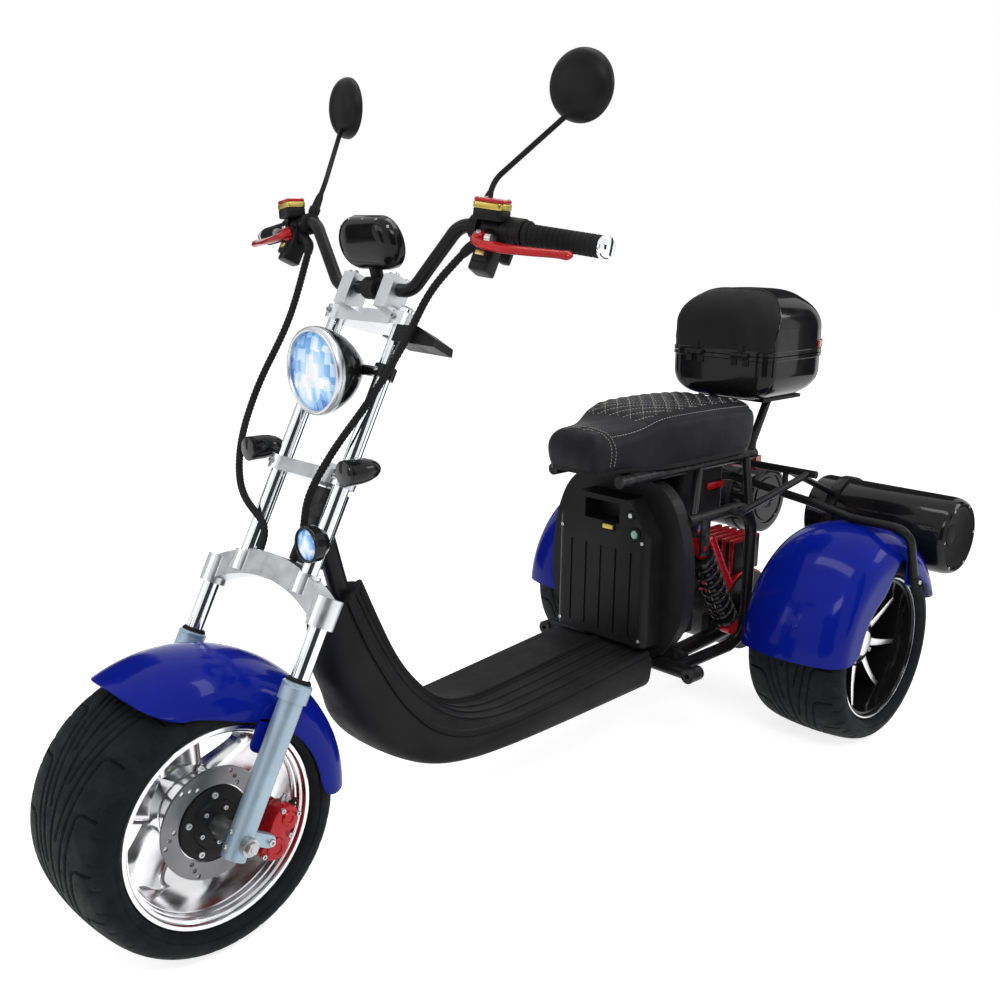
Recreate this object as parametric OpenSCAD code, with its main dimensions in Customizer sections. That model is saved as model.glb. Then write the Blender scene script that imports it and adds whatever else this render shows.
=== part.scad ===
// Three-wheeled electric cruiser: raked fork, step-through floor, saddle and rear top box.
// Sizes are millimetres. +X is forward, +Y is left and the ground is Z = 0.
// Lengths along X are counted from the rear axle, and the whole part is centred at the end.

/* [Wheels] */
// Distance between the front and the rear axle
wheelbase = 1495; // [1450:5:1560]
// Distance between the middles of the rear tyres
track = 650; // [640:2:690]
// Tyre outer diameter
tyre_d = 446; // [430:1:460]
// Tyre width
tyre_w = 235; // [220:1:245]
// Radius of the tyre's shoulders
shoulder_r = 34; // [24:1:44]
// Rim flange diameter
rim_d = 332; // [322:1:342]
// Depth of the bead seat below the rim flange
bead_drop = 14; // [10:1:18]
// Thickness of the rim barrel
rim_wall = 7; // [5:0.5:10]
// Thickness of a rim flange
flange_t = 7; // [5:0.5:9]
// How far the rim lips stay inside the tyre's width, on each side
lip_inset = 13; // [10:1:18]
// Width of the polished bevel inside each lip
lip_w = 12; // [8:1:14]
// Hub diameter
hub_d = 126; // [114:1:134]
// Number of front spokes
front_spokes = 5; // [4:1:7]
// Width of a front spoke at the rim
front_spoke_w = 74; // [60:1:84]
// Thickness of a front spoke
front_spoke_t = 30; // [22:1:38]
// Number of rear blades
rear_blades = 8; // [6:1:10]
// Thickness of a rear blade
blade_t = 20; // [14:1:26]
// Brake disc diameter
disc_d = 184; // [176:1:196]
// Brake disc thickness
disc_t = 4.5; // [3.5:0.5:6]

/* [Fork] */
// Rake of the fork from the vertical, in degrees
rake = 27; // [25:0.5:29]
// How far the steering axis lies behind the fork legs
stem_offset = 55; // [50:1:62]
// Lower slider diameter
slider_d = 40; // [36:1:44]
// Height of the slider tops above the axle, along the leg
slider_top = 246; // [236:1:254]
// Diameter of the chrome tubes that leave the sliders
stanchion_d = 30; // [26:1:33]
// Spacing of the upper tubes
tube_spacing = 174; // [168:1:182]
// Upper tube diameter
tube_d = 28; // [25:1:31]
// Height of the arched bridge's ends above the axle, along the leg
bridge_z = 365; // [355:1:372]
// Rise of the arch at its middle
arch_rise = 38; // [32:1:44]
// Depth of the arched band
arch_band = 42; // [36:1:48]
// Height of the middle clamp above the axle, along the leg
mid_clamp_z = 572; // [560:1:584]
// Height of the top clamp above the axle, along the leg
top_clamp_z = 850; // [838:1:862]
// Thickness of a clamp plate
clamp_t = 24; // [20:1:30]
// Front axle diameter
axle_d = 16; // [14:1:18]

/* [Handlebar] */
// Bar diameter
bar_d = 22; // [20:0.5:25]
// Rise of the bar's bends above its clamps
bar_rise = 105; // [95:1:125]
// Distance of each bend from the middle
bend_y = 190; // [180:1:205]
// Distance of each bar end from the middle
bar_end_y = 428; // [415:1:440]
// Grip length
grip_l = 126; // [115:1:135]
// Grip diameter
grip_d = 34; // [32:1:38]
// Mirror diameter
mirror_d = 112; // [100:1:124]
// Height of the mirrors above the bar's bends
mirror_up = 254; // [240:1:270]

/* [Lamps] */
// Headlamp diameter
headlamp_d = 146; // [136:1:152]
// Headlamp bowl depth
headlamp_depth = 92; // [84:1:100]
// Fog lamp diameter
fog_d = 58; // [50:1:64]
// Turn signal diameter
signal_d = 42; // [36:1:46]

/* [Floor] */
// Half width of the footboard
floor_half_w = 142; // [134:1:150]
// Height of the footboard's top at its front
floor_z = 214; // [208:1:222]
// Rise of the footboard towards the rear
floor_rise = 30; // [20:1:36]
// Height of the belly above the ground
belly_z = 146; // [138:1:154]
// Half width of the cover at the neck
neck_half_w = 60; // [54:1:66]
// Thickness of the cover
cover_t = 5; // [4:0.5:7]

/* [Battery] */
// Battery width
battery_w = 250; // [236:1:258]
// Battery height
battery_h = 318; // [300:1:330]
// Battery length
battery_l = 178; // [160:1:190]
// Half width of the oval surround
surround_half_w = 187; // [180:1:195]
// Thickness of the oval surround
surround_t = 34; // [28:1:40]

/* [Seat] */
// Seat length
seat_l = 514; // [500:2:530]
// Seat thickness at its tallest
seat_h = 114; // [106:1:122]
// Half width of the seat
seat_half_w = 126; // [120:1:134]
// Height of the seat's underside
seat_z = 650; // [646:1:664]

/* [Top box] */
// Box length
box_l = 290; // [276:2:304]
// Box width
box_w = 278; // [268:2:300]
// Height of the lower half
box_base_h = 104; // [96:1:112]
// Height of the lid
box_lid_h = 146; // [136:1:156]
// Wall thickness
box_wall = 4; // [3:0.5:6]
// Radius of the rear corners
box_r = 96; // [84:1:106]
// Radius of the front corners
box_front_r = 36; // [30:1:42]
// Radius of the lid's upper edges
box_top_r = 78; // [68:1:86]
// Radius of the lower half's bottom edges
box_low_r = 62; // [54:1:68]

/* [Fenders] */
// Gap between the rear tyres and the crown of their fenders
fender_gap = 43; // [38:1:48]
// Gap between the front tyre and the crown of its fender
front_gap = 33; // [32:1:40]
// Gap between the tyres and the sides of their fenders
side_gap = 7; // [6.5:0.5:9]
// Fender thickness
fender_t = 4; // [3:0.5:5]
// Radius of the fender's shoulders
fender_round = 60; // [50:1:64]
// Radius of the fender's curve across its crown
crown_bow = 220; // [190:1:260]

/* [Rear] */
// Diameter of the frame tubes
frame_d = 32; // [28:1:35]
// Gap between the rear fenders and the springs
fender_clear = 8; // [6:0.5:10]
// Gap between the battery's rear end and the springs
shock_gap = 6; // [5:0.5:9]
// Spring diameter
spring_d = 58; // [52:1:62]
// Diameter of the rack's tubes
rack_d = 20; // [18:1:23]
// Diameter of the tube loudspeakers
speaker_d = 188; // [180:1:198]
// Length of a tube loudspeaker
speaker_l = 370; // [350:2:380]

/* [Part] */
// Node to draw

/* [Hidden] */
$fn = 48;

// Shared clearances: seats, running parts, and the overrun of every cut
fit = 0.3;
run_gap = 1;
over = 1;
// Bends are a hair thicker than the straight tubes that enter them
elbow_share = 1.02;
arc_steps = 6;

// Wheels
tyre_r = tyre_d / 2;
axle_z = tyre_r;
rim_r = rim_d / 2;
bead_r = rim_r - bead_drop;
barrel_r = bead_r - rim_wall;
rim_half_w = tyre_w / 2 - lip_inset;
bead_half = rim_half_w - flange_t - fit;
side_share = 0.4;
hub_half = 92;
disc_seat = 12;
disc_flange_w = 10;
disc_z = hub_half - disc_seat;
disc_holes = 6;
disc_hole_d = 8;
// Each hole of a group of three stands this many degrees from the next
disc_hole_turn = 8;
front_spoke_z = -34;
front_spoke_root_share = 0.62;
rear_hub_out = 62;
rear_hub_in = 46;
rear_cap = 12;
rear_stub_d = 34;
blade_outer_share = 0.62;
blade_end_r = barrel_r + rim_wall / 2;
blade_end_z = rim_half_w * blade_outer_share;
blade_w = 34;
blade_tip_w = 46;

// Fork: lengths run up the legs from the front axle
fender_half_w = tyre_w / 2 + side_gap + fender_t;
leg_gap = 7;
leg_y = fender_half_w + leg_gap + slider_d / 2;
tube_y = tube_spacing / 2;
slider_foot = 28;
collar_h = 24;
collar_wall = 4;
boss_wall = 8;
boss_h = 48;
boss_cap = 8;
arch_t = 26;
arch_r = (leg_y * leg_y + arch_rise * arch_rise) / (2 * arch_rise);
arch_mid_z = bridge_z + arch_rise - arch_r;
stem_d = 28;
ear_h = 36;
ear_wall = 11;
crown_z = bridge_z + arch_rise;
head_gap = 4;
head_d = 60;
head_z0 = crown_z + ear_h / 2 + head_gap;
head_z1 = mid_clamp_z - clamp_t / 2 - head_gap;
clamp_wall = 8;
web_w = 34;
tube_socket = 26;
tube_z0 = arch_mid_z + sqrt(arch_r * arch_r - tube_y * tube_y) + arch_band / 2 - tube_socket;
tube_rise = 8;
tube_z1 = top_clamp_z + clamp_t / 2 + tube_rise;
stem_nut_h = 16;
axle_head_d = 28;
axle_head_t = 12;
spacer_d = 34;

// Handlebar: the straight middle, the raised bends and the swept-back ends
bar_x = 14;
bar_z = top_clamp_z + clamp_t / 2 + 2 * bar_d - bar_d / 3;
bar_elbow_y = 98;
bend_x = 44;
bar_end_x = -20;
bar_bend_r = 40;
bend_z = bar_z + bar_rise;
riser_y = 54;
riser_w = 30;
riser_wall = 9;
bar_bend = [bend_x, bend_y, bend_z];
bar_end = [bar_end_x, bar_end_y, bend_z];
grip_way = unit(bar_end - bar_bend);
bar_cap_l = 18;
perch_l = 34;
switch_l = 36;
control_gap = 2;
perch_at = norm(bar_end - bar_bend) - grip_l - control_gap - switch_l - perch_l / 2 + over;
perch_wall = 8;
lever_gap = 44;
lever_l = 178;
lever_w = 15;
lever_t = 9;
reservoir_l = 52;
reservoir_w = 36;
reservoir_h = 26;
lid_t = 5;
switch_drop = 62;
switch_w = 34;
switch_d = 46;
stem_rod_d = 9;
mirror_depth = 30;
mirror_turn_angle = 11;
mirror_rim = 4;
glass_t = 2.5;
mirror_x = 28;
mirror_out = 44;
mirror_knee_up = 62;
mirror_collar_l = 16;
lever_drop_angle = 50;
perch = bar_bend + grip_way * perch_at;
mirror_foot = perch - grip_way * (reservoir_l / 2 + mirror_collar_l / 2 + fit)
    + [0, 0, bar_d / 2 + perch_wall + fit];
mirror_at = perch + [mirror_x - bend_x, mirror_out, mirror_up];
loom_d = 13;
loom_bend = 30;
// The looms' routes in the fork's axes; each ends on the bridge, where it is clipped
loom_foot_y = 47;
loom_lift = 1.3;
loom_foot_z = arch_mid_z + sqrt(arch_r * arch_r - loom_foot_y * loom_foot_y) + arch_band / 2 + loom_lift;
left_loom = [
    [34, 214, 966], [30, 161, 895], [30, 147, 812], [30, 115, 705],
    [30, 72, 610], [30, 52, 520], [8, loom_foot_y, 476], [8, loom_foot_y, loom_foot_z]
];
right_loom = [
    [34, -196, 962], [30, -180, 822], [30, -196, 696], [30, -184, 590],
    [32, -130, 510], [26, -72, 478], [8, -loom_foot_y, 462], [8, -loom_foot_y, loom_foot_z]
];

// Lamps
lamp_ahead = 74;
lamp_up_share = 0.54;
lamp_up = mid_clamp_z + (top_clamp_z - mid_clamp_z) * lamp_up_share;
lamp_rim_w = 9;
lamp_rim_t = 16;
lamp_back_d = 52;
lens_bulge = 9;
lamp_stay_d = 18;
lamp_stay_back = lamp_ahead / cos(rake);
fog_ahead = 48;
fog_out = 32;
fog_up_share = 0.29;
fog_low = tube_z0 + tube_socket;
fog_at = [fog_ahead, tube_y + fog_out, fog_low + (mid_clamp_z - clamp_t / 2 - fog_low) * fog_up_share];
fog_depth = 28;
signal_up = 20;
signal_out = 48;
signal_l = 72;
signal_stay_d = 12;
horn_l = 104;
horn_h = 28;
horn_w = 44;
horn_shares = [[0, 0], [1, -0.1], [0.96, 0.4], [0.5, 1], [0, 1]];
pod_w = 152;
pod_h = 88;
pod_t = 30;
pod_tilt_angle = 42;
pod_x = 46;
pod_stay_w = 30;
pod_clear = 15;

// Floor cover: the neck's stations run from its top down to the footboard
front_fender_r = tyre_r + front_gap;
neck_ref = wheelbase - front_fender_r - fender_t;
neck_run = 347;
neck_drop = 54;
neck_z = from_fork([-stem_offset, 0, head_z0]).z - neck_drop;
// Crest x and z, ridge x, z and width, belly x, z and width, and how far the crest lies flat
neck_shares = [
    [0.26, 1.00, 0.08, 0.98, -0.18, 0.00, 0.80, 0.89, 0.30],
    [0.37, 0.78, 0.17, 0.73, 0.00, 0.00, 0.62, 0.83, 0.30],
    [0.49, 0.56, 0.30, 0.44, 0.30, 0.10, 0.44, 0.71, 0.35],
    [0.63, 0.39, 0.38, 0.32, 0.46, 0.15, 0.31, 0.77, 0.45],
    [0.81, 0.24, 0.46, 0.22, 0.67, 0.30, 0.15, 0.87, 0.60],
    [1.00, 0.19, 0.64, 0.15, 0.92, 0.51, 0.06, 0.93, 0.75]
];
floor_front_shares = [1.20, 1.14, 0.97];
spine_share = 0.92;
floor_rear = 462;
floor_flat_share = 0.9;
belly_share = 0.9;
floor_edge = 8;
rib_count = 7;
rib_w = 8;
rib_h = 4;
rib_pitch = 30;
floor_rim_h = 11;
floor_rim_w = 12;
floor_line_share = 0.7;
floor_front = [for (share = floor_front_shares) neck_ref - share * neck_run];
floor_back = [for (share = floor_front_shares) floor_rear];
stations = cut_once(concat([for (s = neck_shares) neck_station(s)],
    [floor_station(floor_front, floor_z), floor_station(floor_back, floor_z + floor_rise)]));

// Battery and its surround
loop_z0 = 206;
surround_front = 426;
surround_x = surround_front - surround_t;
surround_low = loop_z0 + frame_d / 2 + fit;
surround_h = 390;
surround_shares = [
    [0.62, 0.00], [0.84, 0.10], [1.01, 0.28], [1.01, 0.55],
    [0.94, 0.74], [0.79, 0.91], [0.54, 1.00], [0.20, 1.00]
];
surround_half = [
    for (p = smooth(surround_shares)) [p.x * surround_half_w, surround_low + p.y * surround_h]];
battery_out = 54;
battery_x1 = surround_front + battery_out;
battery_x0 = battery_x1 - battery_l;
battery_neck = surround_x - fit - over;
battery_z = 258;
battery_round = 16;
// Half of the battery's front face, as shares of its width and height: the shoulders slope in to the top
battery_face_shares = [[0.5, 0], [0.5, 0.77], [0.28, 1]];
battery_groove_w = 5;
battery_grooves = 5;
battery_groove_d = 3;
groove_share = 0.6;
handle_w = 96;
handle_h = 44;
handle_d = 48;
handle_bar = 12;

// Seat and the box below it
seat_x0 = 78;
pan_t = 10;
pan_inset = 8;
rail_y = 92;
rail_d = 26;
rail_z = seat_z - pan_t - rail_d / 2 - fit;
rail_front = 540;
rail_rear = 46;
under_l = 168;
under_h = 150;
under_round = 18;
// The seat's plan and its upper outline, as shares of its length, half width and height
seat_plan_shares = [
    [0.00, 0.80], [0.04, 1.00], [0.50, 1.00], [0.68, 0.90], [0.84, 0.66], [0.99, 0.62], [1.00, 0.24]];
seat_top_shares = [
    [1.00, 0.10], [1.00, 0.66], [0.90, 0.70], [0.80, 0.70], [0.68, 0.98],
    [0.50, 1.02], [0.24, 0.98], [0.02, 0.90], [0.00, 0.40]
];
seat_round = 44;

// Top box
box_x1 = 82;
box_x0 = box_x1 - box_l;
bracket_t = 8;
box_up = 100;
box_z = seat_z + box_up;
seam_gap = 2;
box_seam = box_z + box_base_h;
box_top = box_seam + box_lid_h;
hinge_d = 12;
hinge_y = 62;
hinge_l = 48;
hinge_pin_d = 6;
hinge_leaf_t = 3;
hinge_leaf_h = 22;
hinge_x = box_x1 + fit + hinge_d / 2;
bracket_y = 70;
bracket_l = 164;
bracket_reach = 116;
bracket_post_d = 22;
reflector_w = 90;
reflector_h = 22;
reflector_t = 6;

// Fenders
fender_r = tyre_r + fender_gap;
front_skirt_r = 178;
front_from_angle = 64;
front_to_angle = 182;
rear_from_angle = 4;
rear_to_angle = 166;
rear_skirt_r = 148;
inner_lip = 10;
rear_lip_r = shoulder_mid(fender_r, fender_half_w - fender_t).x - inner_lip;
skirt_cut_r = 216;
skirt_rise = 28;
front_lip = 23;
tab_w = 46;
tab_low = 132;
stay_d = 16;
stay_up = 190;

// Rear frame: side loops, swing arms, shocks, rack and loudspeakers
loop_y = track / 2 - fender_half_w - fender_clear - spring_d / 2;
loop_d = 27;
spine_d = 36;
loop_z1 = 532;
loop_x0 = 142;
loop_x1 = battery_neck - fit;
upright_x = 372;
upright_d = 20;
strut_x = 262;
loop_bend_r = 70;
cross_x = surround_x + surround_t / 2;
lug_y = 208;
lug_d = 32;
lug_l = 40;
lug_bore_d = 10.5;
floor_rail_y = 92;
spine_x = neck_ref - spine_share * neck_run;
spine_up = 16;
spine_z = belly_z + cover_t + frame_d / 2 + spine_up;
spine_bend = 120;
spine_head_share = 0.55;
housing_d = 74;
housing_gap = 12;
housing_half = track / 2 - tyre_w / 2 - housing_gap;
drive_d = 196;
drive_l = 150;
arm_inset = 54;
arm_y = loop_y - arm_inset;
arm_d = 36;
pivot_x = 358;
pivot_d = 42;
shock_top = [346, 468];
shock_low = [208, 256];
eye_d = 30;
eye_l = 26;
cheek_t = 6;
shock_pin_d = 12;
damper_d = 24;
reservoir_d = 24;
reservoir_off = 42;
reservoir_from_share = 0.62;
spring_wire = 9;
spring_turns = 7;
bar_z_rear = axle_z + fender_r + fender_t + rack_d / 2 + fit;
arch_up = 44;
rail_up = 84;
rack_rail_d = 18;
post_d = 14;
brace_d = 16;
rack_half = 228;
post_y = 38;
post_outer_y = 148;
speaker_x = -312;
speaker_z = 428;
speaker_inner = 80;
speaker_lip = 10;
speaker_cone = 22;
hoop_t = 5;
hoop_w = 26;
hoop_y = 150;
tail_w = 120;
tail_h = 34;
tail_t = 22;

// The front tyre and the loudspeakers are the two ends of the part
mid_x = (wheelbase + tyre_r + speaker_x - speaker_d / 2) / 2;

// Colours
black = [0.05, 0.05, 0.055];
rubber = [0.07, 0.07, 0.075];
blue = [0.05, 0.08, 0.55];
steel = [0.72, 0.74, 0.78];
silver = [0.80, 0.82, 0.85];
red = [0.75, 0.05, 0.06];
glow = [0.88, 0.94, 1.0];
leather = [0.06, 0.06, 0.065];

function unit(v) = v / norm(v);
function arc(mid, r, a0, a1, n = arc_steps) =
    [for (i = [0 : n]) mid + r * [cos(a0 + (a1 - a0) * i / n), sin(a0 + (a1 - a0) * i / n)]];
function reversed(list) = [for (i = [len(list) - 1 : -1 : 0]) list[i]];
function mirrored(list) = concat(list, [for (p = reversed(list)) [p.x, -p.y]]);
function rounded(x0, x1, y0, y1, r) = concat(
    arc([x1 - r, y0 + r], r, -90, 0), arc([x1 - r, y1 - r], r, 0, 90),
    arc([x0 + r, y1 - r], r, 90, 180), arc([x0 + r, y0 + r], r, 180, 270));
// A rectangle with its own radius at each corner, counter-clockwise from the lower right
function cornered(x0, x1, y0, y1, r) = concat(
    arc([x1 - r[0], y0 + r[0]], r[0], -90, 0), arc([x1 - r[1], y1 - r[1]], r[1], 0, 90),
    arc([x0 + r[2], y1 - r[2]], r[2], 90, 180), arc([x0 + r[3], y0 + r[3]], r[3], 180, 270));
// Rounds an open list of points, or of whole stations, by cutting each corner twice
function cut_once(list) = concat([list[0]], [for (i = [0 : len(list) - 2])
    each [list[i] * 3 / 4 + list[i + 1] / 4, list[i] / 4 + list[i + 1] * 3 / 4]], [list[len(list) - 1]]);
function cut_ring(list) = [for (i = [0 : len(list) - 1]) let (b = list[(i + 1) % len(list)])
    each [list[i] * 3 / 4 + b / 4, list[i] / 4 + b * 3 / 4]];
function smooth(list) = cut_once(cut_once(list));
function scaled(list, size) = [for (p = list) [p.x * size.x, p.y * size.y]];
// A point given in the raked fork's own axes, seen from the ground
function from_fork(p) = [
    wheelbase + p.x * cos(rake) - p.z * sin(rake), p.y, axle_z + p.x * sin(rake) + p.z * cos(rake)];

module placed() translate([-mid_x, 0, 0]) children();
module both_sides() {
    children();
    mirror([0, 1, 0]) children();
}
// The fork's axes: origin on the front axle, Z up the legs
module fork_axes() translate([wheelbase, 0, axle_z]) rotate([0, -rake, 0]) children();
module level_at(p) translate(p) rotate([0, rake, 0]) children();
// A wheel's axes, with Z pointing to the wheel's outer side
module wheel_axes(x, y, side) translate([x, y, axle_z]) rotate([-side * 90, 0, 0]) children();
// A fender's axes: angles run from the front over the top, and Z points to the right
module fender_axes(x, y) translate([x, y, axle_z]) rotate([90, 0, 0]) children();
module across(d, y0, y1) translate([0, y0, 0]) rotate([-90, 0, 0]) cylinder(d = d, h = y1 - y0);
// A side view, x and z, pushed out over a span of Y
module side_view(y0, y1) translate([0, y1, 0]) rotate([90, 0, 0]) linear_extrude(y1 - y0) children();
// A front view, y and z, pushed out over a span of X
module front_view(x0, x1) translate([x0, 0, 0]) rotate([90, 0, 90]) linear_extrude(x1 - x0) children();

module rod(a, b, d) {
    way = b - a;
    translate(a) rotate([0, acos(way.z / norm(way)), atan2(way.y, way.x)]) cylinder(d = d, h = norm(way));
}

module elbow(before, at, after, bend, d) {
    u = unit(at - before);
    w = unit(after - at);
    turn = acos(u * w);
    mid = at + unit(w - u) * bend / cos(turn / 2);
    start = at - u * bend * tan(turn / 2);
    e1 = unit(start - mid);
    e3 = unit(cross(u, w));
    e2 = cross(e3, e1);
    multmatrix([
        [e1.x, e2.x, e3.x, mid.x], [e1.y, e2.y, e3.y, mid.y], [e1.z, e2.z, e3.z, mid.z], [0, 0, 0, 1]])
        rotate_extrude(angle = turn) translate([bend, 0]) circle(d = d * elbow_share);
}

// A bent tube through a list of corners
module pipe(pts, d, bend) {
    last = len(pts) - 1;
    way = [for (i = [0 : last - 1]) unit(pts[i + 1] - pts[i])];
    trim = [for (i = [0 : last])
        i == 0 || i == last ? 0 : bend * tan(acos(way[i - 1] * way[i]) / 2) - over];
    for (i = [0 : last - 1]) rod(pts[i] + way[i] * trim[i], pts[i + 1] - way[i] * trim[i + 1], d);
    for (i = [1 : last - 1]) elbow(pts[i - 1], pts[i], pts[i + 1], bend, d);
}

// Wheels

module tyre_ring() {
    side_r = rim_r + (tyre_r - rim_r) * side_share;
    half = concat(
        [[bead_r + fit, -bead_half], [rim_r + fit, -bead_half], [side_r, -tyre_w / 2]],
        arc([tyre_r - shoulder_r, shoulder_r - tyre_w / 2], shoulder_r, -90, 0));
    rotate_extrude($fn = 64) polygon(mirrored(half));
}

module rim_barrel() {
    half = [[barrel_r, lip_w + flange_t - rim_half_w], [rim_r - lip_w, -rim_half_w], [rim_r, -rim_half_w],
        [rim_r, flange_t - rim_half_w], [bead_r, flange_t - rim_half_w]];
    rotate_extrude($fn = 64) polygon(mirrored(half));
}

module front_tyre() color(rubber) placed() wheel_axes(wheelbase, 0, 1) tyre_ring();

module front_rim() color(silver) placed() wheel_axes(wheelbase, 0, 1) difference() {
    union() {
        rim_barrel();
        translate([0, 0, -hub_half]) cylinder(d = hub_d, h = 2 * hub_half);
        translate([0, 0, disc_z - disc_flange_w]) cylinder(d = hub_d + 2 * disc_flange_w, h = disc_flange_w);
        translate([0, 0, front_spoke_z]) linear_extrude(front_spoke_t) intersection() {
            circle(r = barrel_r + rim_wall / 2);
            for (i = [0 : front_spokes - 1]) rotate(i * 360 / front_spokes) polygon([
                [0, -front_spoke_w * front_spoke_root_share / 2], [rim_r, -front_spoke_w / 2],
                [rim_r, front_spoke_w / 2], [0, front_spoke_w * front_spoke_root_share / 2]]);
        }
    }
    translate([0, 0, -hub_half - over]) cylinder(d = axle_d + 2 * run_gap, h = 2 * (hub_half + over));
}

module front_disc() color(steel) placed() wheel_axes(wheelbase, 0, 1) translate([0, 0, disc_z]) difference() {
    cylinder(d = disc_d, h = disc_t);
    translate([0, 0, -over]) cylinder(d = hub_d + 2 * fit, h = disc_t + 2 * over);
    for (i = [0 : disc_holes - 1], j = [-1 : 1]) rotate(i * 360 / disc_holes + j * disc_hole_turn)
        translate([(disc_d + hub_d) / 4 + j * disc_hole_d, 0, -over])
            cylinder(d = disc_hole_d, h = disc_t + 2 * over);
}

module rear_rim(side) wheel_axes(0, side * track / 2, side) difference() {
    union() {
        rim_barrel();
        translate([0, 0, -rear_hub_in]) cylinder(d = hub_d, h = rear_hub_in + rear_hub_out);
        for (i = [0 : rear_blades - 1]) rotate(i * 360 / rear_blades) rotate([90, 0, 0])
            translate([0, 0, -blade_t / 2]) linear_extrude(blade_t) polygon([
                [0, rear_hub_out - blade_w], [blade_end_r, blade_end_z - blade_tip_w],
                [blade_end_r, blade_end_z], [0, rear_hub_out - rear_cap]]);
    }
    translate([0, 0, -rear_hub_in - over])
        cylinder(d = rear_stub_d + 2 * run_gap, h = rear_hub_in + over + rear_hub_out - rear_cap);
}

module rear_tyre_left() color(rubber) placed() wheel_axes(0, track / 2, 1) tyre_ring();
module rear_tyre_right() color(rubber) placed() wheel_axes(0, -track / 2, -1) tyre_ring();
module rear_rim_left() color(black) placed() rear_rim(1);
module rear_rim_right() color(black) placed() rear_rim(-1);

// Fork

module fork_sliders() color(silver) placed() fork_axes() for (side = [-1, 1]) difference() {
    translate([0, side * leg_y, -slider_foot]) {
        cylinder(d = slider_d, h = slider_top + slider_foot);
        translate([0, 0, slider_top + slider_foot - collar_h])
            cylinder(d = slider_d + 2 * collar_wall, h = collar_h);
    }
    across(axle_d + 2 * fit, -2 * leg_y, 2 * leg_y);
}

module front_axle() color(steel) placed() fork_axes() {
    head_y = leg_y + slider_d / 2 + fit;
    across(axle_d, -head_y - axle_head_t, head_y + axle_head_t);
    both_sides() {
        across(axle_head_d, head_y, head_y + axle_head_t);
        across(spacer_d, hub_half + run_gap, leg_y - slider_d / 2 - fit);
    }
}

module fork_tubes() color(steel) placed() fork_axes() for (side = [-1, 1]) {
    translate([0, side * leg_y, slider_top])
        cylinder(d = stanchion_d, h = bridge_z + boss_h / 2 - boss_cap - fit - slider_top);
    translate([0, side * tube_y, tube_z0]) cylinder(d = tube_d, h = tube_z1 - tube_z0);
}

module fork_bridge() color(silver) placed() fork_axes() difference() {
    union() {
        translate([-arch_t / 2, 0, 0]) intersection() {
            translate([0, 0, arch_mid_z]) rotate([90, 0, 90]) linear_extrude(arch_t) difference() {
                circle(r = arch_r + arch_band / 2, $fn = 96);
                circle(r = arch_r - arch_band / 2, $fn = 96);
            }
            translate([-over, -leg_y, arch_mid_z]) cube([arch_t + 2 * over, 2 * leg_y, 2 * arch_r]);
        }
        for (side = [-1, 1]) {
            translate([0, side * leg_y, bridge_z - boss_h / 2])
                cylinder(d = stanchion_d + 2 * boss_wall, h = boss_h);
            translate([0, side * tube_y, tube_z0 - boss_cap])
                cylinder(d = tube_d + 2 * boss_wall, h = tube_socket + boss_cap);
        }
        translate([-stem_offset, 0, crown_z - ear_h / 2]) cylinder(d = stem_d + 2 * ear_wall, h = ear_h);
        translate([-stem_offset, -stem_d / 2, crown_z - ear_h / 2]) cube([stem_offset, stem_d, ear_h]);
    }
    for (side = [-1, 1]) {
        translate([0, side * leg_y, bridge_z - boss_h / 2 - over])
            cylinder(d = stanchion_d + 2 * fit, h = boss_h - boss_cap + over);
        translate([0, side * tube_y, tube_z0 - fit])
            cylinder(d = tube_d + 2 * fit, h = tube_socket + arch_band);
    }
    translate([-stem_offset, 0, crown_z - ear_h]) cylinder(d = stem_d + 2 * fit, h = 2 * ear_h);
}

// A flat yoke that grips the two upper tubes
module yoke(z) translate([0, 0, z - clamp_t / 2]) linear_extrude(clamp_t) difference() {
    union() {
        for (side = [-1, 1]) translate([0, side * tube_y]) circle(d = tube_d + 2 * clamp_wall);
        translate([-stem_offset, 0]) circle(d = stem_d + 2 * ear_wall);
        polygon([[web_w / 2, -tube_y], [web_w / 2, tube_y], [-web_w / 2, tube_y], [-stem_offset, stem_d / 2],
            [-stem_offset, -stem_d / 2], [-web_w / 2, -tube_y]]);
    }
    for (side = [-1, 1]) translate([0, side * tube_y]) circle(d = tube_d + 2 * fit);
    translate([-stem_offset, 0]) circle(d = stem_d + 2 * fit);
}

module fork_clamps() color(silver) placed() fork_axes() {
    yoke(mid_clamp_z);
    difference() {
        union() {
            yoke(top_clamp_z);
            riser_z = top_clamp_z + clamp_t / 2 - over;
            for (side = [-1, 1])
                translate([bar_x - bar_d / 2 - riser_wall, side * riser_y - riser_w / 2, riser_z])
                cube([bar_d + 2 * riser_wall, riser_w, bar_z + bar_d / 2 + riser_wall - riser_z]);
        }
        translate([bar_x, 0, bar_z]) across(bar_d + 2 * fit, -2 * riser_y, 2 * riser_y);
    }
}

module steering_stem() color(steel) placed() fork_axes() translate([-stem_offset, 0, 0]) {
    foot = crown_z - ear_h / 2;
    nut = mid_clamp_z + clamp_t / 2;
    translate([0, 0, foot]) cylinder(d = stem_d, h = nut + stem_nut_h - foot);
    translate([0, 0, nut]) cylinder(d = stem_d + 2 * ear_wall, h = stem_nut_h, $fn = 6);
}

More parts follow.
